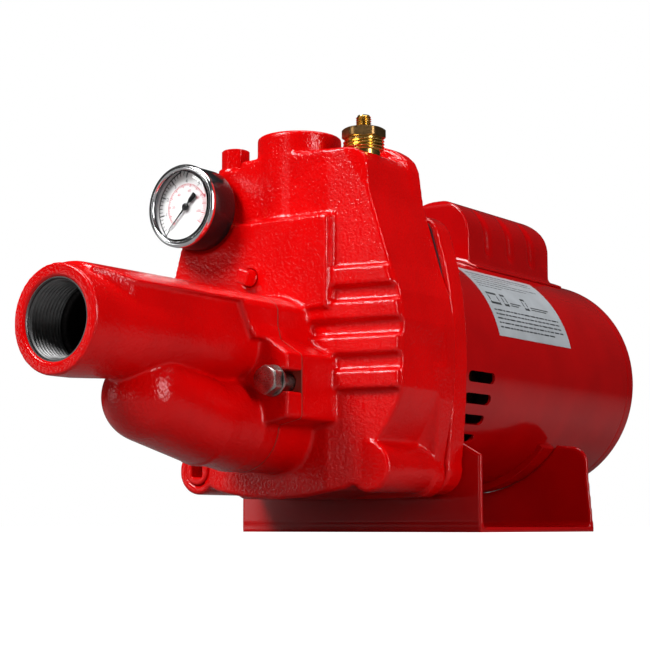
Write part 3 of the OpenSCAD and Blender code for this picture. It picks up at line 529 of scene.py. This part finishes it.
# inside of the bores: bare iron, darkened well below the thread iron as painted shade
bore_metal_and_shade = metal_material("bore_metal_and_shade", (0.05, 0.045, 0.045), 0.6, 0.8, height=0.05)
gap_shadow = plastic_material("gap_shadow", (0.05, 0.004, 0.01), 0.6, 0.5, 0.02)
ink_black = plastic_material("ink_black", (0.01, 0.01, 0.012), 0.5, 0.3, 0.002)
ink_red = plastic_material("ink_red", (0.55, 0.02, 0.05), 0.5, 0.3, 0.002)
hexagon_bronze = metal_material("hexagon_bronze", (0.5, 0.29, 0.11), 0.34, 0.5, height=0.04, stain=0.6)


def coat(obj, look):
    """Gives a piece one material."""
    obj.data.materials.clear()
    obj.data.materials.append(looks[look] if isinstance(look, str) else look)
    return obj


# ---------- castings ----------


def box_mm(node):
    low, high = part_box(node)
    return low / MM, high / MM


def upright_centre(node):
    low, high = box_mm(node)
    return Vector(((low.x + high.x) / 2, (low.y + high.y) / 2, 0)), low.z, high.z


joint_plane = box_mm("injector_gasket")
case_rear = box_mm("case_gasket")[0].y
DARK_BORE_MARGIN = 0.3


def build_injector():
    """Injector casting with a bore darkened as bare metal and painted shade."""
    plane = joint_plane[0].y
    body = casting("injector_casting", "injector_body", [(Y, plane, 0.8)])
    coat(body, "cast_red_paint")
    port = mounts["suction_port"]
    start = box_mm("injector_body")[0].y
    radius = port["dims"]["r_mm"] + DARK_BORE_MARGIN
    # the suction bore is darkened: bare metal plus painted shade
    line_bore(body, bore_metal_and_shade, Y, Vector(port["pos_m"]) / MM, radius, start + 1.5, start + 110)


def build_case():
    """Pump case casting; the bore that the brass fitting fills is closed before rounding."""
    planes = [(Y, joint_plane[1].y, -1.4), (Y, case_rear, 1.2)]
    fitting_centre, fitting_low, fitting_high = upright_centre("switch_fitting")
    fills = [solid_rod(fitting_centre[:2], 9.6, fitting_low - 7, fitting_high - 22)]
    body = casting("pump_case_casting", "pump_case", planes, fills=fills)
    coat(body, "cast_red_paint")
    port = mounts["discharge_port"]
    top = box_mm("pump_case")[1].z
    radius = port["dims"]["r_mm"] + DARK_BORE_MARGIN
    # the discharge bore is darkened: bare metal plus painted shade
    line_bore(body, bore_metal_and_shade, Z, Vector(port["pos_m"]) / MM, radius, top - 60, top - 1)


def build_adapter():
    body = casting("motor_adapter_casting", "motor_adapter")
    return coat(body, "cast_red_paint")


def build_discharge_thread():
    """Bare pipe thread inside the discharge boss."""
    port = mounts["discharge_port"]
    radius = port["dims"]["r_mm"]
    mouth = Vector(port["pos_m"]) / MM
    top = box_mm("pump_case")[1].z
    high = top - 1.4
    low = high - 22
    rings = thread_rings(radius - 0.1, -1.0, 2.2, low, high, fade=1.2, steps=8)
    outer = [(radius + 0.4, high), (radius + 0.4, low)]
    centre = Vector((mouth.x, mouth.y, 0))
    piece = ring_mesh("discharge_thread", rings + outer, centre, Z_AXIS, 72, looped=True, creases=60)
    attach(piece, ROOT)
    return coat(piece, thread_iron)


def build_suction_thread():
    """Bare tapered pipe thread inside the suction boss."""
    port = mounts["suction_port"]
    radius = port["dims"]["r_mm"]
    mouth = Vector(port["pos_m"]) / MM
    start = box_mm("injector_body")[0].y
    low, high = 1.2, port["dims"]["length_mm"] + (mouth.y - start) * 0.1
    pitch = 2.21
    depth = 1.15
    centre = Vector((0, start, mouth.z))
    rings = thread_rings(radius - 0.1, -depth, pitch, low, high, fade=1.2, steps=10)
    outer = [(radius + 0.5, high), (radius + 0.5, low)]
    piece = ring_mesh("suction_thread", rings + outer, centre, Y_AXIS, 96, looped=True, creases=60)
    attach(piece, ROOT)
    return coat(piece, thread_iron)


# ---------- plugs and fittings ----------


def build_prime_plug():
    """Hexagon plug with a domed head and a pipe thread."""
    centre, low, high = upright_centre("prime_plug")
    collar_low = high - 17
    head_low = high - 12.6
    flats = 8.5 * math.sqrt(3)
    rings = [(8.0, low)] + thread_rings(8.5, 0.9, 1.8, low + 0.4, collar_low - 0.5, steps=9)
    rings += [(9.2, collar_low - 0.4), (9.75, collar_low), (9.75, head_low - 0.7), (9.2, head_low - 0.1)]
    rings += hex_rings(flats, head_low, high - 1.0, dome=1.0)
    plug = ring_mesh("prime_plug_painted", rings, centre, Z_AXIS, 96, creases=50)
    return coat(stand_for(plug, "prime_plug"), "cast_red_paint")


def build_small_plugs():
    vent = casting("vent_plug_painted", "vent_plug")
    coat(vent, "cast_red_paint")
    drain = casting("drain_plug_painted", "drain_plug")
    coat(drain, "cast_red_paint")


def build_switch_fitting():
    """Brass reducing fitting: pipe thread below, hexagon, small threaded nipple above."""
    centre, low, high = upright_centre("switch_fitting")
    hex_low, hex_high = high - 13.5, high - 7.6
    shank_low = high - 20.3
    rings = [(8.4, low), (9.2, low + 0.6), (9.2, shank_low)]
    rings += thread_rings(10.2, 1.25, 1.75, shank_low, hex_low - 0.3, fade=0.35, steps=12)
    rings += [(10.2, hex_low)]
    lower = ring_mesh("fitting_shank", rings, centre, Z_AXIS, 96, creases=60)
    flats = 12.7 * math.sqrt(3)
    rings = hex_rings(flats, hex_low, hex_high, chamfer_low=True)
    head = ring_mesh("fitting_head", rings, centre, Z_AXIS, 96, creases=30)
    rings = [(3.9, hex_high - 0.2)] + thread_rings(3.55, 0.75, 1.25, hex_high, high - 0.6, fade=0.4, steps=8)
    rings += [(3.3, high), (2.2, high), (2.1, high - 6), (0.3, high - 6)]
    nipple = ring_mesh("fitting_nipple", rings, centre, Z_AXIS, 64, creases=50)
    coat(lower, "brass")
    coat(head, hexagon_bronze)
    coat(nipple, "brass")
    for piece in (lower, head, nipple):
        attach(piece, ROOT)
    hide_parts("switch_fitting")


def build_injector_bolts():
    """Hexagon bolts with washers, plated and slightly tarnished."""
    low, high = box_mm("injector_bolts")
    washer_low, washer_high = box_mm("injector_washers")
    middle_z = (washer_low.z + washer_high.z) / 2
    spread = washer_high.x - (washer_high.z - washer_low.z) / 2
    flats = high.z - low.z
    flats = min(flats, 16.4) * math.sqrt(3) / 2
    head = washer_low.y - low.y
    shank_r = 4.55
    pieces = []
    washers = []
    for side in (-1, 1):
        centre = Vector((side * spread, washer_low.y, middle_z))
        face_r = flats / 2 * 0.93
        rings = [(shank_r, -(high.y - washer_low.y)), (shank_r, -0.1), (face_r, -0.05), (face_r, 0.3)]
        rings += hex_rings(flats, 0.35, head, dome=0.25)
        pieces.append(ring_mesh("bolt", rings, centre, -Y_AXIS, 96, creases=30))
        outer = (washer_high.z - washer_low.z) / 2
        depth = washer_high.y - washer_low.y
        profile = [
            (4.9, 0.1), (4.9, -depth), (outer - 0.2, -depth), (outer, -depth + 0.2), (outer, -0.35),
            (outer - 0.35, -0.02), (5.0, 0.0),
        ]
        washers.append(ring_mesh("washer", profile, centre, -Y_AXIS, 64, looped=True, creases=30))
    bolts = coat(join("injector_bolts_plated", *pieces), "zinc_steel")
    stand_for(bolts, "injector_bolts")
    rings = coat(join("injector_washers_plated", *washers), "zinc_steel")
    stand_for(rings, "injector_washers")


# ---------- gauge ----------

needle = joints["gauge_needle_turn"]
gauge_centre = Vector(needle["pos_m"]) / MM
bezel_low, bezel_high = box_mm("gauge_bezel")
gauge_front = bezel_low.y
bezel_radius = (bezel_high.x - bezel_low.x) / 2
dial_low, dial_high = box_mm("gauge_dial")
dial_radius = (dial_high.x - dial_low.x) / 2


def on_gauge(y):
    return Vector((gauge_centre.x, y, gauge_centre.z))


def build_gauge_shell():
    case_low, case_high = box_mm("gauge_case")
    rear = case_high.y
    radius = (case_high.x - case_low.x) / 2
    front = gauge_front + 3.2
    depth = rear - front
    profile = [
        (6.6, depth), (radius - 2.6, depth), (radius - 1.0, depth - 0.35), (radius - 0.25, depth - 1.1),
        (radius, depth - 2.2), (radius, 1.4), (radius - 0.3, 0.5), (radius - 1.6, 0.0),
        (radius - 1.9, 0.3), (radius - 1.9, depth - 2), (6.6, depth - 2),
    ]
    case = ring_mesh("gauge_case_black", profile, on_gauge(front), Y_AXIS, 128, looped=True, creases=50)
    coat(stand_for(case, "gauge_case"), "gauge_black")
    r = bezel_radius
    profile = [
        (20.1, 2.3), (20.1, 1.2), (20.5, 0.45), (21.1, 0.08), (21.9, 0.0), (22.7, 0.25), (23.2, 0.75),
        (r, 1.6), (r, 3.0), (r - 0.35, 3.5), (r - 1.0, 3.5), (21.3, 3.3), (21.3, 2.35),
    ]
    front_centre = on_gauge(gauge_front)
    bezel = ring_mesh("gauge_bezel_polished", profile, front_centre, Y_AXIS, 128, looped=True, creases=None)
    coat(stand_for(bezel, "gauge_bezel"), "gauge_chrome")
    # the stepped inner wall between window and dial
    reach = dial_low.y - gauge_front
    profile = [(21.3, 3.4), (20.3, 3.5), (20.0, reach - 0.1), (21.3, reach - 0.1)]
    wall = ring_mesh("gauge_inner_ring", profile, on_gauge(gauge_front), Y_AXIS, 128, looped=True, creases=30)
    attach(wall, ROOT)
    coat(wall, plastic_material("gauge_inner_grey", (0.16, 0.16, 0.17), 0.35, 0.4, 0.01))
    glass = [(0.01, 2.4), (8, 2.42), (15, 2.5), (20.9, 2.6), (20.9, 3.2), (15, 3.1), (8, 3.02), (0.01, 3.0)]
    lens = ring_mesh("gauge_window", glass, on_gauge(gauge_front), Y_AXIS, 96, creases=None)
    coat(stand_for(lens, "gauge_lens"), "gauge_glass")


def flat_marks(name, outlines, y):
    """Thin raised marks on the dial; outlines are lists of (x, z) about the gauge centre."""
    thick = 0.06
    points, faces = [], []
    for outline in outlines:
        n = len(outline)
        base = len(points)
        for back in (0, 1):
            points += [(gauge_centre.x + x, y - thick * (1 - back), gauge_centre.z + z) for x, z in outline]
        faces.append([base + i for i in range(n)])
        faces.append([base + n + i for i in range(n - 1, -1, -1)])
        for i in range(n):
            j = (i + 1) % n
            faces.append((base + j, base + i, base + n + i, base + n + j))
    obj = make_object(name, points, faces, smooth=False)
    face_outward(obj)
    return obj


def radial_bar(angle, inner, outer, half):
    """A bar pointing at the centre; angle is measured clockwise from the top."""
    s, c = math.sin(angle), math.cos(angle)
    corners = ((inner, -half), (outer, -half), (outer, half), (inner, half))
    return [(r * s + w * c, r * c - w * s) for r, w in corners]


def arc_band(start, stop, inner, outer, steps):
    angles = [start + (stop - start) * i / steps for i in range(steps + 1)]
    rim = [(outer * math.sin(a), outer * math.cos(a)) for a in angles]
    return rim + [(inner * math.sin(a), inner * math.cos(a)) for a in reversed(angles)]


def dial_number(text, angle, radius, size, y):
    """One number on the dial, as a mesh."""
    curve = bpy.data.curves.new("number", "FONT")
    curve.body = text
    curve.size = size * MM
    curve.align_x = "CENTER"
    curve.align_y = "CENTER"
    curve.extrude = 0.03 * MM
    curve.resolution_u = 3
    obj = bpy.data.objects.new("number", curve)
    bpy.context.scene.collection.objects.link(obj)
    depsgraph = bpy.context.evaluated_depsgraph_get()
    mesh = bpy.data.meshes.new_from_object(obj.evaluated_get(depsgraph))
    bpy.data.objects.remove(obj)
    x = gauge_centre.x + radius * math.sin(angle)
    z = gauge_centre.z + radius * math.cos(angle)
    mesh.transform(Matrix.Translation(Vector((x, y, z)) * MM) @ Matrix.Rotation(math.pi / 2, 4, "X"))
    result = bpy.data.objects.new("number", mesh)
    bpy.context.scene.collection.objects.link(result)
    return result


def build_dial():
    """White plate with a black outer scale, a red inner scale and plain numbers."""
    face = dial_low.y
    profile = [
        (1.75, 0.8), (dial_radius - 0.2, 0.8), (dial_radius, 0.6), (dial_radius, 0.15),
        (dial_radius - 0.15, 0), (1.75, 0),
    ]
    plate = ring_mesh("gauge_dial_white", profile, on_gauge(face), Y_AXIS, 128, looped=True, creases=40)
    coat(stand_for(plate, "gauge_dial"), "gauge_white")
    sweep = math.radians(270)
    start = -sweep / 2
    black, red = [], []
    major, minor = 8, 5
    for i in range(major * minor + 1):
        a = start + sweep * i / (major * minor)
        long = i % minor == 0
        black.append(radial_bar(a, 16.4 if long else 17.4, 18.7, 0.34 if long else 0.2))
    black.append(arc_band(start, start + sweep, 18.5, 18.85, 72))
    red_major, red_minor = 11, 5
    for i in range(red_major * red_minor + 1):
        a = start + sweep * i / (red_major * red_minor)
        long = i % red_minor == 0
        red.append(radial_bar(a, 11.4 if long else 12.1, 13.2, 0.28 if long else 0.17))
    red.append(arc_band(start, start + sweep, 13.15, 13.35, 72))
    outer = [flat_marks("ticks", black, face)]
    for i in range(major + 1):
        a = start + sweep * i / major
        outer.append(dial_number(str(i), a, 14.8, 3.0, face - 0.03))
    inner = [flat_marks("ticks", red, face)]
    for i in range(0, red_major + 1, 2):
        a = start + sweep * i / red_major
        inner.append(dial_number(str(10 * i), a, 9.3, 2.3, face - 0.03))
    for name, parts, ink in (("gauge_scale_black", outer, ink_black), ("gauge_scale_red", inner, ink_red)):
        marks = coat(join(name, *parts), ink)
        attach(marks, ROOT)


def build_pointer():
    """Slim black pointer with a broad tail and a domed hub; it turns with its body."""
    face = dial_low.y
    tilt = math.radians(225)
    outline = [
        (17.2, 0.10), (17.2, -0.10), (6, -0.34), (0, -0.55), (-3.2, -0.55), (-4.6, -1.25), (-9.2, -1.45),
        (-9.7, -1.0), (-9.7, 1.0), (-9.2, 1.45), (-4.6, 1.25), (-3.2, 0.55), (0, 0.55), (6, 0.34),
    ]
    turned = [
        (x * math.cos(tilt) - z * math.sin(tilt), x * math.sin(tilt) + z * math.cos(tilt)) for x, z in outline
    ]
    points, faces = [], []
    n = len(turned)
    for y in (face - 1.3, face - 0.85):
        points += [(gauge_centre.x + x, y, gauge_centre.z + z) for x, z in turned]
    faces.append(list(range(n)))
    faces.append(list(range(2 * n - 1, n - 1, -1)))
    faces += [((i + 1) % n, i, n + i, n + (i + 1) % n) for i in range(n)]
    blade = make_object("blade", points, faces, smooth=False)
    face_outward(blade)
    hub_rings = [
        (0.75, 8.3), (0.75, 0.0), (2.0, -0.6), (2.15, -1.0), (2.1, -1.5), (1.7, -1.85), (1.0, -2.0),
        (0.1, -2.05),
    ]
    hub = ring_mesh("hub", hub_rings, on_gauge(face), Y_AXIS, 48, creases=50)
    pointer = coat(join("gauge_pointer_black", blade, hub), "gauge_black")
    return stand_for(pointer, "gauge_pointer")


# ---------- sheet metal ----------

shell_low, shell_high = box_mm("motor_shell")
shaft = Vector((0, 0, (shell_low.z + shell_high.z) / 2))
shell_radius = (shell_high.z - shell_low.z) / 2


def capsule_cutter(centre, along, across, length, height, depth):
    """A long rounded slot cutter."""
    out = along.cross(across)
    steps = 10
    outline = []
    for end in (1, -1):
        for i in range(steps + 1):
            a = math.pi * i / steps - math.pi / 2
            reach = (length - height) / 2 + height / 2 * math.cos(a)
            outline.append((end * reach, end * height / 2 * math.sin(a)))
    n = len(outline)
    points = [centre + along * u + across * v + out * w for w in (-depth, depth) for u, v in outline]
    faces = [list(range(n)), list(range(2 * n - 1, n - 1, -1))]
    faces += [((i + 1) % n, i, n + i, n + (i + 1) % n) for i in range(n)]
    cutter = make_object("cutter", points, faces, smooth=False)
    face_outward(cutter)
    return cutter


def build_motor_shell():
    """Rolled sheet shell with turned-in rims and a row of cooling slots on each side."""
    r, t = shell_radius, 1.6
    front, rear = shell_low.y, shell_high.y
    length = rear - front
    profile = [
        (r - t, 0.4), (r - t + 0.3, 0.0), (r - 0.6, 0.0), (r - 0.15, 0.25), (r, 0.8),
        (r, length - 0.8), (r - 0.15, length - 0.25), (r - 0.6, length), (r - t + 0.3, length),
        (r - t, length - 0.4),
    ]
    fine = []
    for (ra, ya), (rb, yb) in zip(profile, profile[1:] + profile[:1]):
        parts = max(1, int(abs(yb - ya) / 8))
        fine += [(ra + (rb - ra) * k / parts, ya + (yb - ya) * k / parts) for k in range(parts)]
    centre = Vector((0, front, shaft.z))
    shell = ring_mesh("motor_shell_painted", fine, centre, Y_AXIS, 256, looped=True, creases=30)
    cutters = []
    slot_long, slot_high = 30, 6.4
    slot_centre_y = front + 14 + (slot_long - slot_high) / 2
    first_angle, angle_step, rows = 9, 10.3, 4
    for side in (1, -1):
        for i in range(rows):
            a = math.radians(first_angle + angle_step * i)
            out = Vector((side * math.cos(a), 0, -math.sin(a)))
            across = Vector((side * math.sin(a), 0, math.cos(a)))
            spot = Vector((0, slot_centre_y, shaft.z)) + out * r
            cutters.append(capsule_cutter(spot, Y_AXIS, across, slot_long, slot_high, 5))
    cutter = join("slot_cutters", *cutters)
    apply_modifier(shell, "BOOLEAN", operation="DIFFERENCE", object=cutter, solver="EXACT")
    bpy.data.objects.remove(cutter)
    shell.data.shade_smooth()
    shell.data.set_sharp_from_angle(angle=math.radians(35))
    even = shell.modifiers.new("even_shading", "WEIGHTED_NORMAL")
    even.keep_sharp = True
    return coat(stand_for(shell, "motor_shell"), "sheet_red_paint")


def build_rear_bell():
    bell = casting("rear_bell_painted", "rear_end_bell")
    return coat(bell, "sheet_red_paint")


cover_low, cover_high = box_mm("capacitor_cover")


def press_flutes(co):
    """Presses three soft upright grooves into each side of the capacitor cover."""
    spacing, count = 29.0, 3
    first = cover_low.y + 22.0
    floor, ceiling = cover_high.z - 34.0, cover_high.z - 5
    inner, outer = 8, 24.0
    depth, width, tilt = 2.6, 3.0, 0.10
    for i in range(count):
        middle = first + spacing * i
        lean = (co[:, Y] - middle) + (co[:, Z] - cover_high.z) * tilt
        across = np.exp(-((lean / width) ** 2))
        fade_low = 1 / (1 + np.exp(-(co[:, Z] - floor) / 1.2))
        fade_high = 1 / (1 + np.exp((co[:, Z] - ceiling) / 2.0))
        side = np.clip((np.abs(co[:, X]) - inner) / (outer - inner), 0, 1)
        co[:, X] -= np.sign(co[:, X]) * depth * across * fade_low * fade_high * side
    return co


def build_capacitor_cover():
    cover = casting("capacitor_cover_painted", "capacitor_cover", warp=press_flutes)
    return coat(cover, "sheet_red_paint")


def build_foot():
    foot = casting("motor_foot_painted", "motor_foot", [(Z, 0.0, -1.0)])
    return coat(foot, "sheet_red_paint")


def build_saddle_pad():
    """Curved red strip between the shell and the front cradle of the foot."""
    low, high = box_mm("saddle_pad")
    half = (high.x - low.x) / 2
    thick = 4.0
    inner, outer = shell_radius + 0.05, shell_radius + thick
    widest = math.asin((half - 0.2) / outer)
    steps = 40
    points, faces = [], []
    section = [
        (inner, low.y + 0.1), (outer - 0.5, low.y + 0.1), (outer, low.y + 0.6), (outer, high.y - 0.1),
        (inner, high.y - 0.1),
    ]
    count = len(section)
    for i in range(steps + 1):
        angle = widest * (2 * i / steps - 1)
        points += [(r * math.sin(angle), y, shaft.z - r * math.cos(angle)) for r, y in section]
    for i in range(steps):
        a, b = i * count, (i + 1) * count
        faces += [(a + k, a + (k + 1) % count, b + (k + 1) % count, b + k) for k in range(count)]
    faces += [tuple(range(count - 1, -1, -1)), tuple(range(steps * count, (steps + 1) * count))]
    pad = make_object("saddle_pad_painted", points, faces, creases=40)
    face_outward(pad)
    return coat(stand_for(pad, "saddle_pad"), "sheet_red_paint")


def build_label():
    """Plain data plate film with rows of grey bars."""
    low, high = box_mm("data_label")
    r = shell_radius + 0.22
    a0, a1 = math.radians(34.5), math.radians(77.5)
    y0, y1 = low.y + 0.4, high.y - 0.4

    def spot(a, y, lift):
        return (math.sin(a) * (r + lift), y, shaft.z + math.cos(a) * (r + lift))

    def patch(u0, u1, v0, v1, lift, thick, steps):
        """A curved rectangle; u runs along the shaft, v down the film, both 0 to 1."""
        points, faces = [], []
        for layer in (0, 1):
            for i in range(steps + 1):
                a = a0 + (a1 - a0) * (v0 + (v1 - v0) * i / steps)
                for u in (u0, u1):
                    points.append(spot(a, y0 + (y1 - y0) * u, lift - layer * thick))
        n = 2 * (steps + 1)
        for i in range(steps):
            a = 2 * i
            faces += [(a, a + 1, a + 3, a + 2), (n + a, n + a + 2, n + a + 3, n + a + 1)]
            faces += [(a, a + 2, n + a + 2, n + a), (a + 1, n + a + 1, n + a + 3, a + 3)]
        faces += [(0, n, n + 1, 1), (n - 2, n - 1, 2 * n - 1, 2 * n - 2)]
        return points, faces

    points, faces = patch(0, 1, 0, 1, 0.0, 0.18, 24)
    film = make_object("data_label_film", points, faces, creases=30)
    face_outward(film)
    coat(stand_for(film, "data_label"), "label_film")
    draw = random.Random(11)
    points, faces = [], []

    def bar(u0, u1, v0, v1):
        more, indices = patch(u0, u1, v0, v1, 0.03, 0.05, 2)
        base = len(points)
        points.extend(more)
        faces.extend([tuple(base + k for k in face) for face in indices])

    # each row: place down the film, height, and where it ends across the film
    rows = [
        (0.07, 0.02, 0.9), (0.125, 0.012, 0.9), (0.175, 0.012, 0.55), (0.225, 0.012, 0.9),
        (0.27, 0.012, 0.72), (0.315, 0.012, 0.35), (0.66, 0.018, 0.94), (0.715, 0.018, 0.94),
        (0.77, 0.018, 0.94), (0.825, 0.018, 0.94), (0.88, 0.018, 0.8),
    ]
    for v, tall, width in rows:
        u = 0.05
        while u < width:
            stop = min(width, u + draw.uniform(0.02, 0.075))
            bar(u, stop, v, v + tall)
            u = stop + 0.012
    for u, wide in ((0.06, 0.13), (0.24, 0.06), (0.52, 0.06)):
        bar(u, u + wide, 0.42, 0.45)
        bar(u, u + wide, 0.56, 0.59)
        bar(u, u + 0.012, 0.42, 0.59)
        bar(u + wide - 0.012, u + wide, 0.42, 0.59)
    for u, stop in ((0.33, 0.47), (0.61, 0.86)):
        bar(u, stop, 0.53, 0.545)
        bar(u, stop - 0.04, 0.56, 0.575)
    print_marks = make_object("data_label_bars", points, faces, smooth=False)
    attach(print_marks, ROOT)
    coat(print_marks, plastic_material("label_ink", (0.05, 0.055, 0.06), 0.5, 0.3, 0.002))


# ---------- everything that stays as CAD ----------


def finish_cad_nodes():
    """Procedural materials and softened edges for the CAD nodes that stay in view."""
    for node, obj in frame["nodes"].items():
        if obj.hide_render:
            continue
        obj.data.materials.clear()
        obj.data.materials.append(gap_shadow if node == "case_gasket" else looks[slot_of_node[node]])
        weld = obj.modifiers.new("weld", "WELD")
        weld.merge_threshold = 1e-6
        bevel = obj.modifiers.new("soft_edges", "BEVEL")
        bevel.width = 0.25 * MM
        bevel.segments = 2
        bevel.limit_method = "ANGLE"
        bevel.angle_limit = math.radians(40)
        bevel.harden_normals = False


# ---------- studio ----------

LIGHT_AIM = (0, -0.05, 0.11)
# name, place, width and height in metres, and power
LIGHTS = [
    ("key", (-0.4, -1.2, 1.2), 0.6, 0.6, 27),
    ("overhead", (0.15, 0.1, 1.4), 0.5, 0.9, 8),
    ("left_strip", (-0.06, -1.4, 0.45), 0.1, 0.9, 0.8),
    ("right_strip", (1.33, -0.4, 0.5), 0.2, 1.0, 11),
    ("low_fill", (-0.9, -0.9, 0.12), 0.3, 0.3, 0.6),
]
# strength of the white surroundings as seen by the camera, by mirrored rays and by the rest
SEEN, MIRRORED, AMBIENT = 1.0, 0.03, 0.08
CAMERA_PLACE = (0.5479, -0.8733, 0.0039)
CAMERA_TILT, CAMERA_TURN = 96.86, 35.3
CAMERA_LENS, CAMERA_SENSOR = 92.2, 36

def build_floor():
    """Pale floor that blends into the pale background when seen by the camera."""
    size = 3.0
    mesh = bpy.data.meshes.new("floor")
    corners = [(-size, -size, 0), (size, -size, 0), (size, size, 0), (-size, size, 0)]
    mesh.from_pydata(corners, [], [(0, 1, 2, 3)])
    floor = bpy.data.objects.new("floor", mesh)
    bpy.context.scene.collection.objects.link(floor)
    m = Nodes("floor_white")
    m.set(base_color=(0.22, 0.22, 0.22, 1), roughness=0.8)
    m.bsdf.inputs["Specular IOR Level"].default_value = 0.0
    m.bsdf.inputs["Emission Color"].default_value = (1, 1, 1, 1)
    path = m.add("ShaderNodeLightPath")
    m.link(m.ramp(path, "Is Camera Ray", 0, 1, 0.0, 1.0), "Result", m.bsdf, "Emission Strength")
    floor.data.materials.append(m.material)


def area_light(name, place, target, wide, tall, power):
    light = bpy.data.lights.new(name, "AREA")
    light.shape = "RECTANGLE"
    light.size = wide
    light.size_y = tall
    light.energy = power
    obj = bpy.data.objects.new(name, light)
    obj.location = place
    obj.rotation_euler = (Vector(target) - Vector(place)).to_track_quat("-Z", "Y").to_euler()
    bpy.context.scene.collection.objects.link(obj)
    return obj


def background(tree, strength):
    node = tree.nodes.new("ShaderNodeBackground")
    node.inputs["Color"].default_value = (1, 1, 1, 1)
    node.inputs["Strength"].default_value = strength
    return node


def build_lights():
    """Key from above on the left, an overhead panel, two tall strips and a low fill, in a dim room."""
    for name, place, wide, tall, power in LIGHTS:
        area_light(name, place, LIGHT_AIM, wide, tall, power)
    world = bpy.data.worlds.new("studio")
    world.use_nodes = True
    tree = world.node_tree
    tree.nodes.clear()
    out = tree.nodes.new("ShaderNodeOutputWorld")
    path = tree.nodes.new("ShaderNodeLightPath")
    seen = background(tree, SEEN)
    mirrored = background(tree, MIRRORED)
    ambient = background(tree, AMBIENT)
    inner = tree.nodes.new("ShaderNodeMixShader")
    outer = tree.nodes.new("ShaderNodeMixShader")
    tree.links.new(path.outputs["Is Glossy Ray"], inner.inputs["Fac"])
    tree.links.new(ambient.outputs["Background"], inner.inputs[1])
    tree.links.new(mirrored.outputs["Background"], inner.inputs[2])
    tree.links.new(path.outputs["Is Camera Ray"], outer.inputs["Fac"])
    tree.links.new(inner.outputs["Shader"], outer.inputs[1])
    tree.links.new(seen.outputs["Background"], outer.inputs[2])
    tree.links.new(outer.outputs["Shader"], out.inputs["Surface"])
    bpy.context.scene.world = world


def build_camera():
    camera = bpy.data.cameras.new("camera")
    camera.sensor_width = CAMERA_SENSOR
    camera.lens = CAMERA_LENS
    camera.clip_start = 0.01
    obj = bpy.data.objects.new("camera", camera)
    obj.location = CAMERA_PLACE
    obj.rotation_euler = (math.radians(CAMERA_TILT), 0, math.radians(CAMERA_TURN))
    bpy.context.scene.collection.objects.link(obj)
    bpy.context.scene.camera = obj


build_injector()
build_suction_thread()
build_case()
build_discharge_thread()
build_adapter()
build_prime_plug()
build_small_plugs()
build_switch_fitting()
build_injector_bolts()
build_gauge_shell()
build_dial()
build_pointer()
build_motor_shell()
build_rear_bell()
build_capacitor_cover()
build_foot()
build_saddle_pad()
build_label()
finish_cad_nodes()
build_floor()
build_lights()
build_camera()
bpy.context.scene.view_settings.view_transform = "Standard"
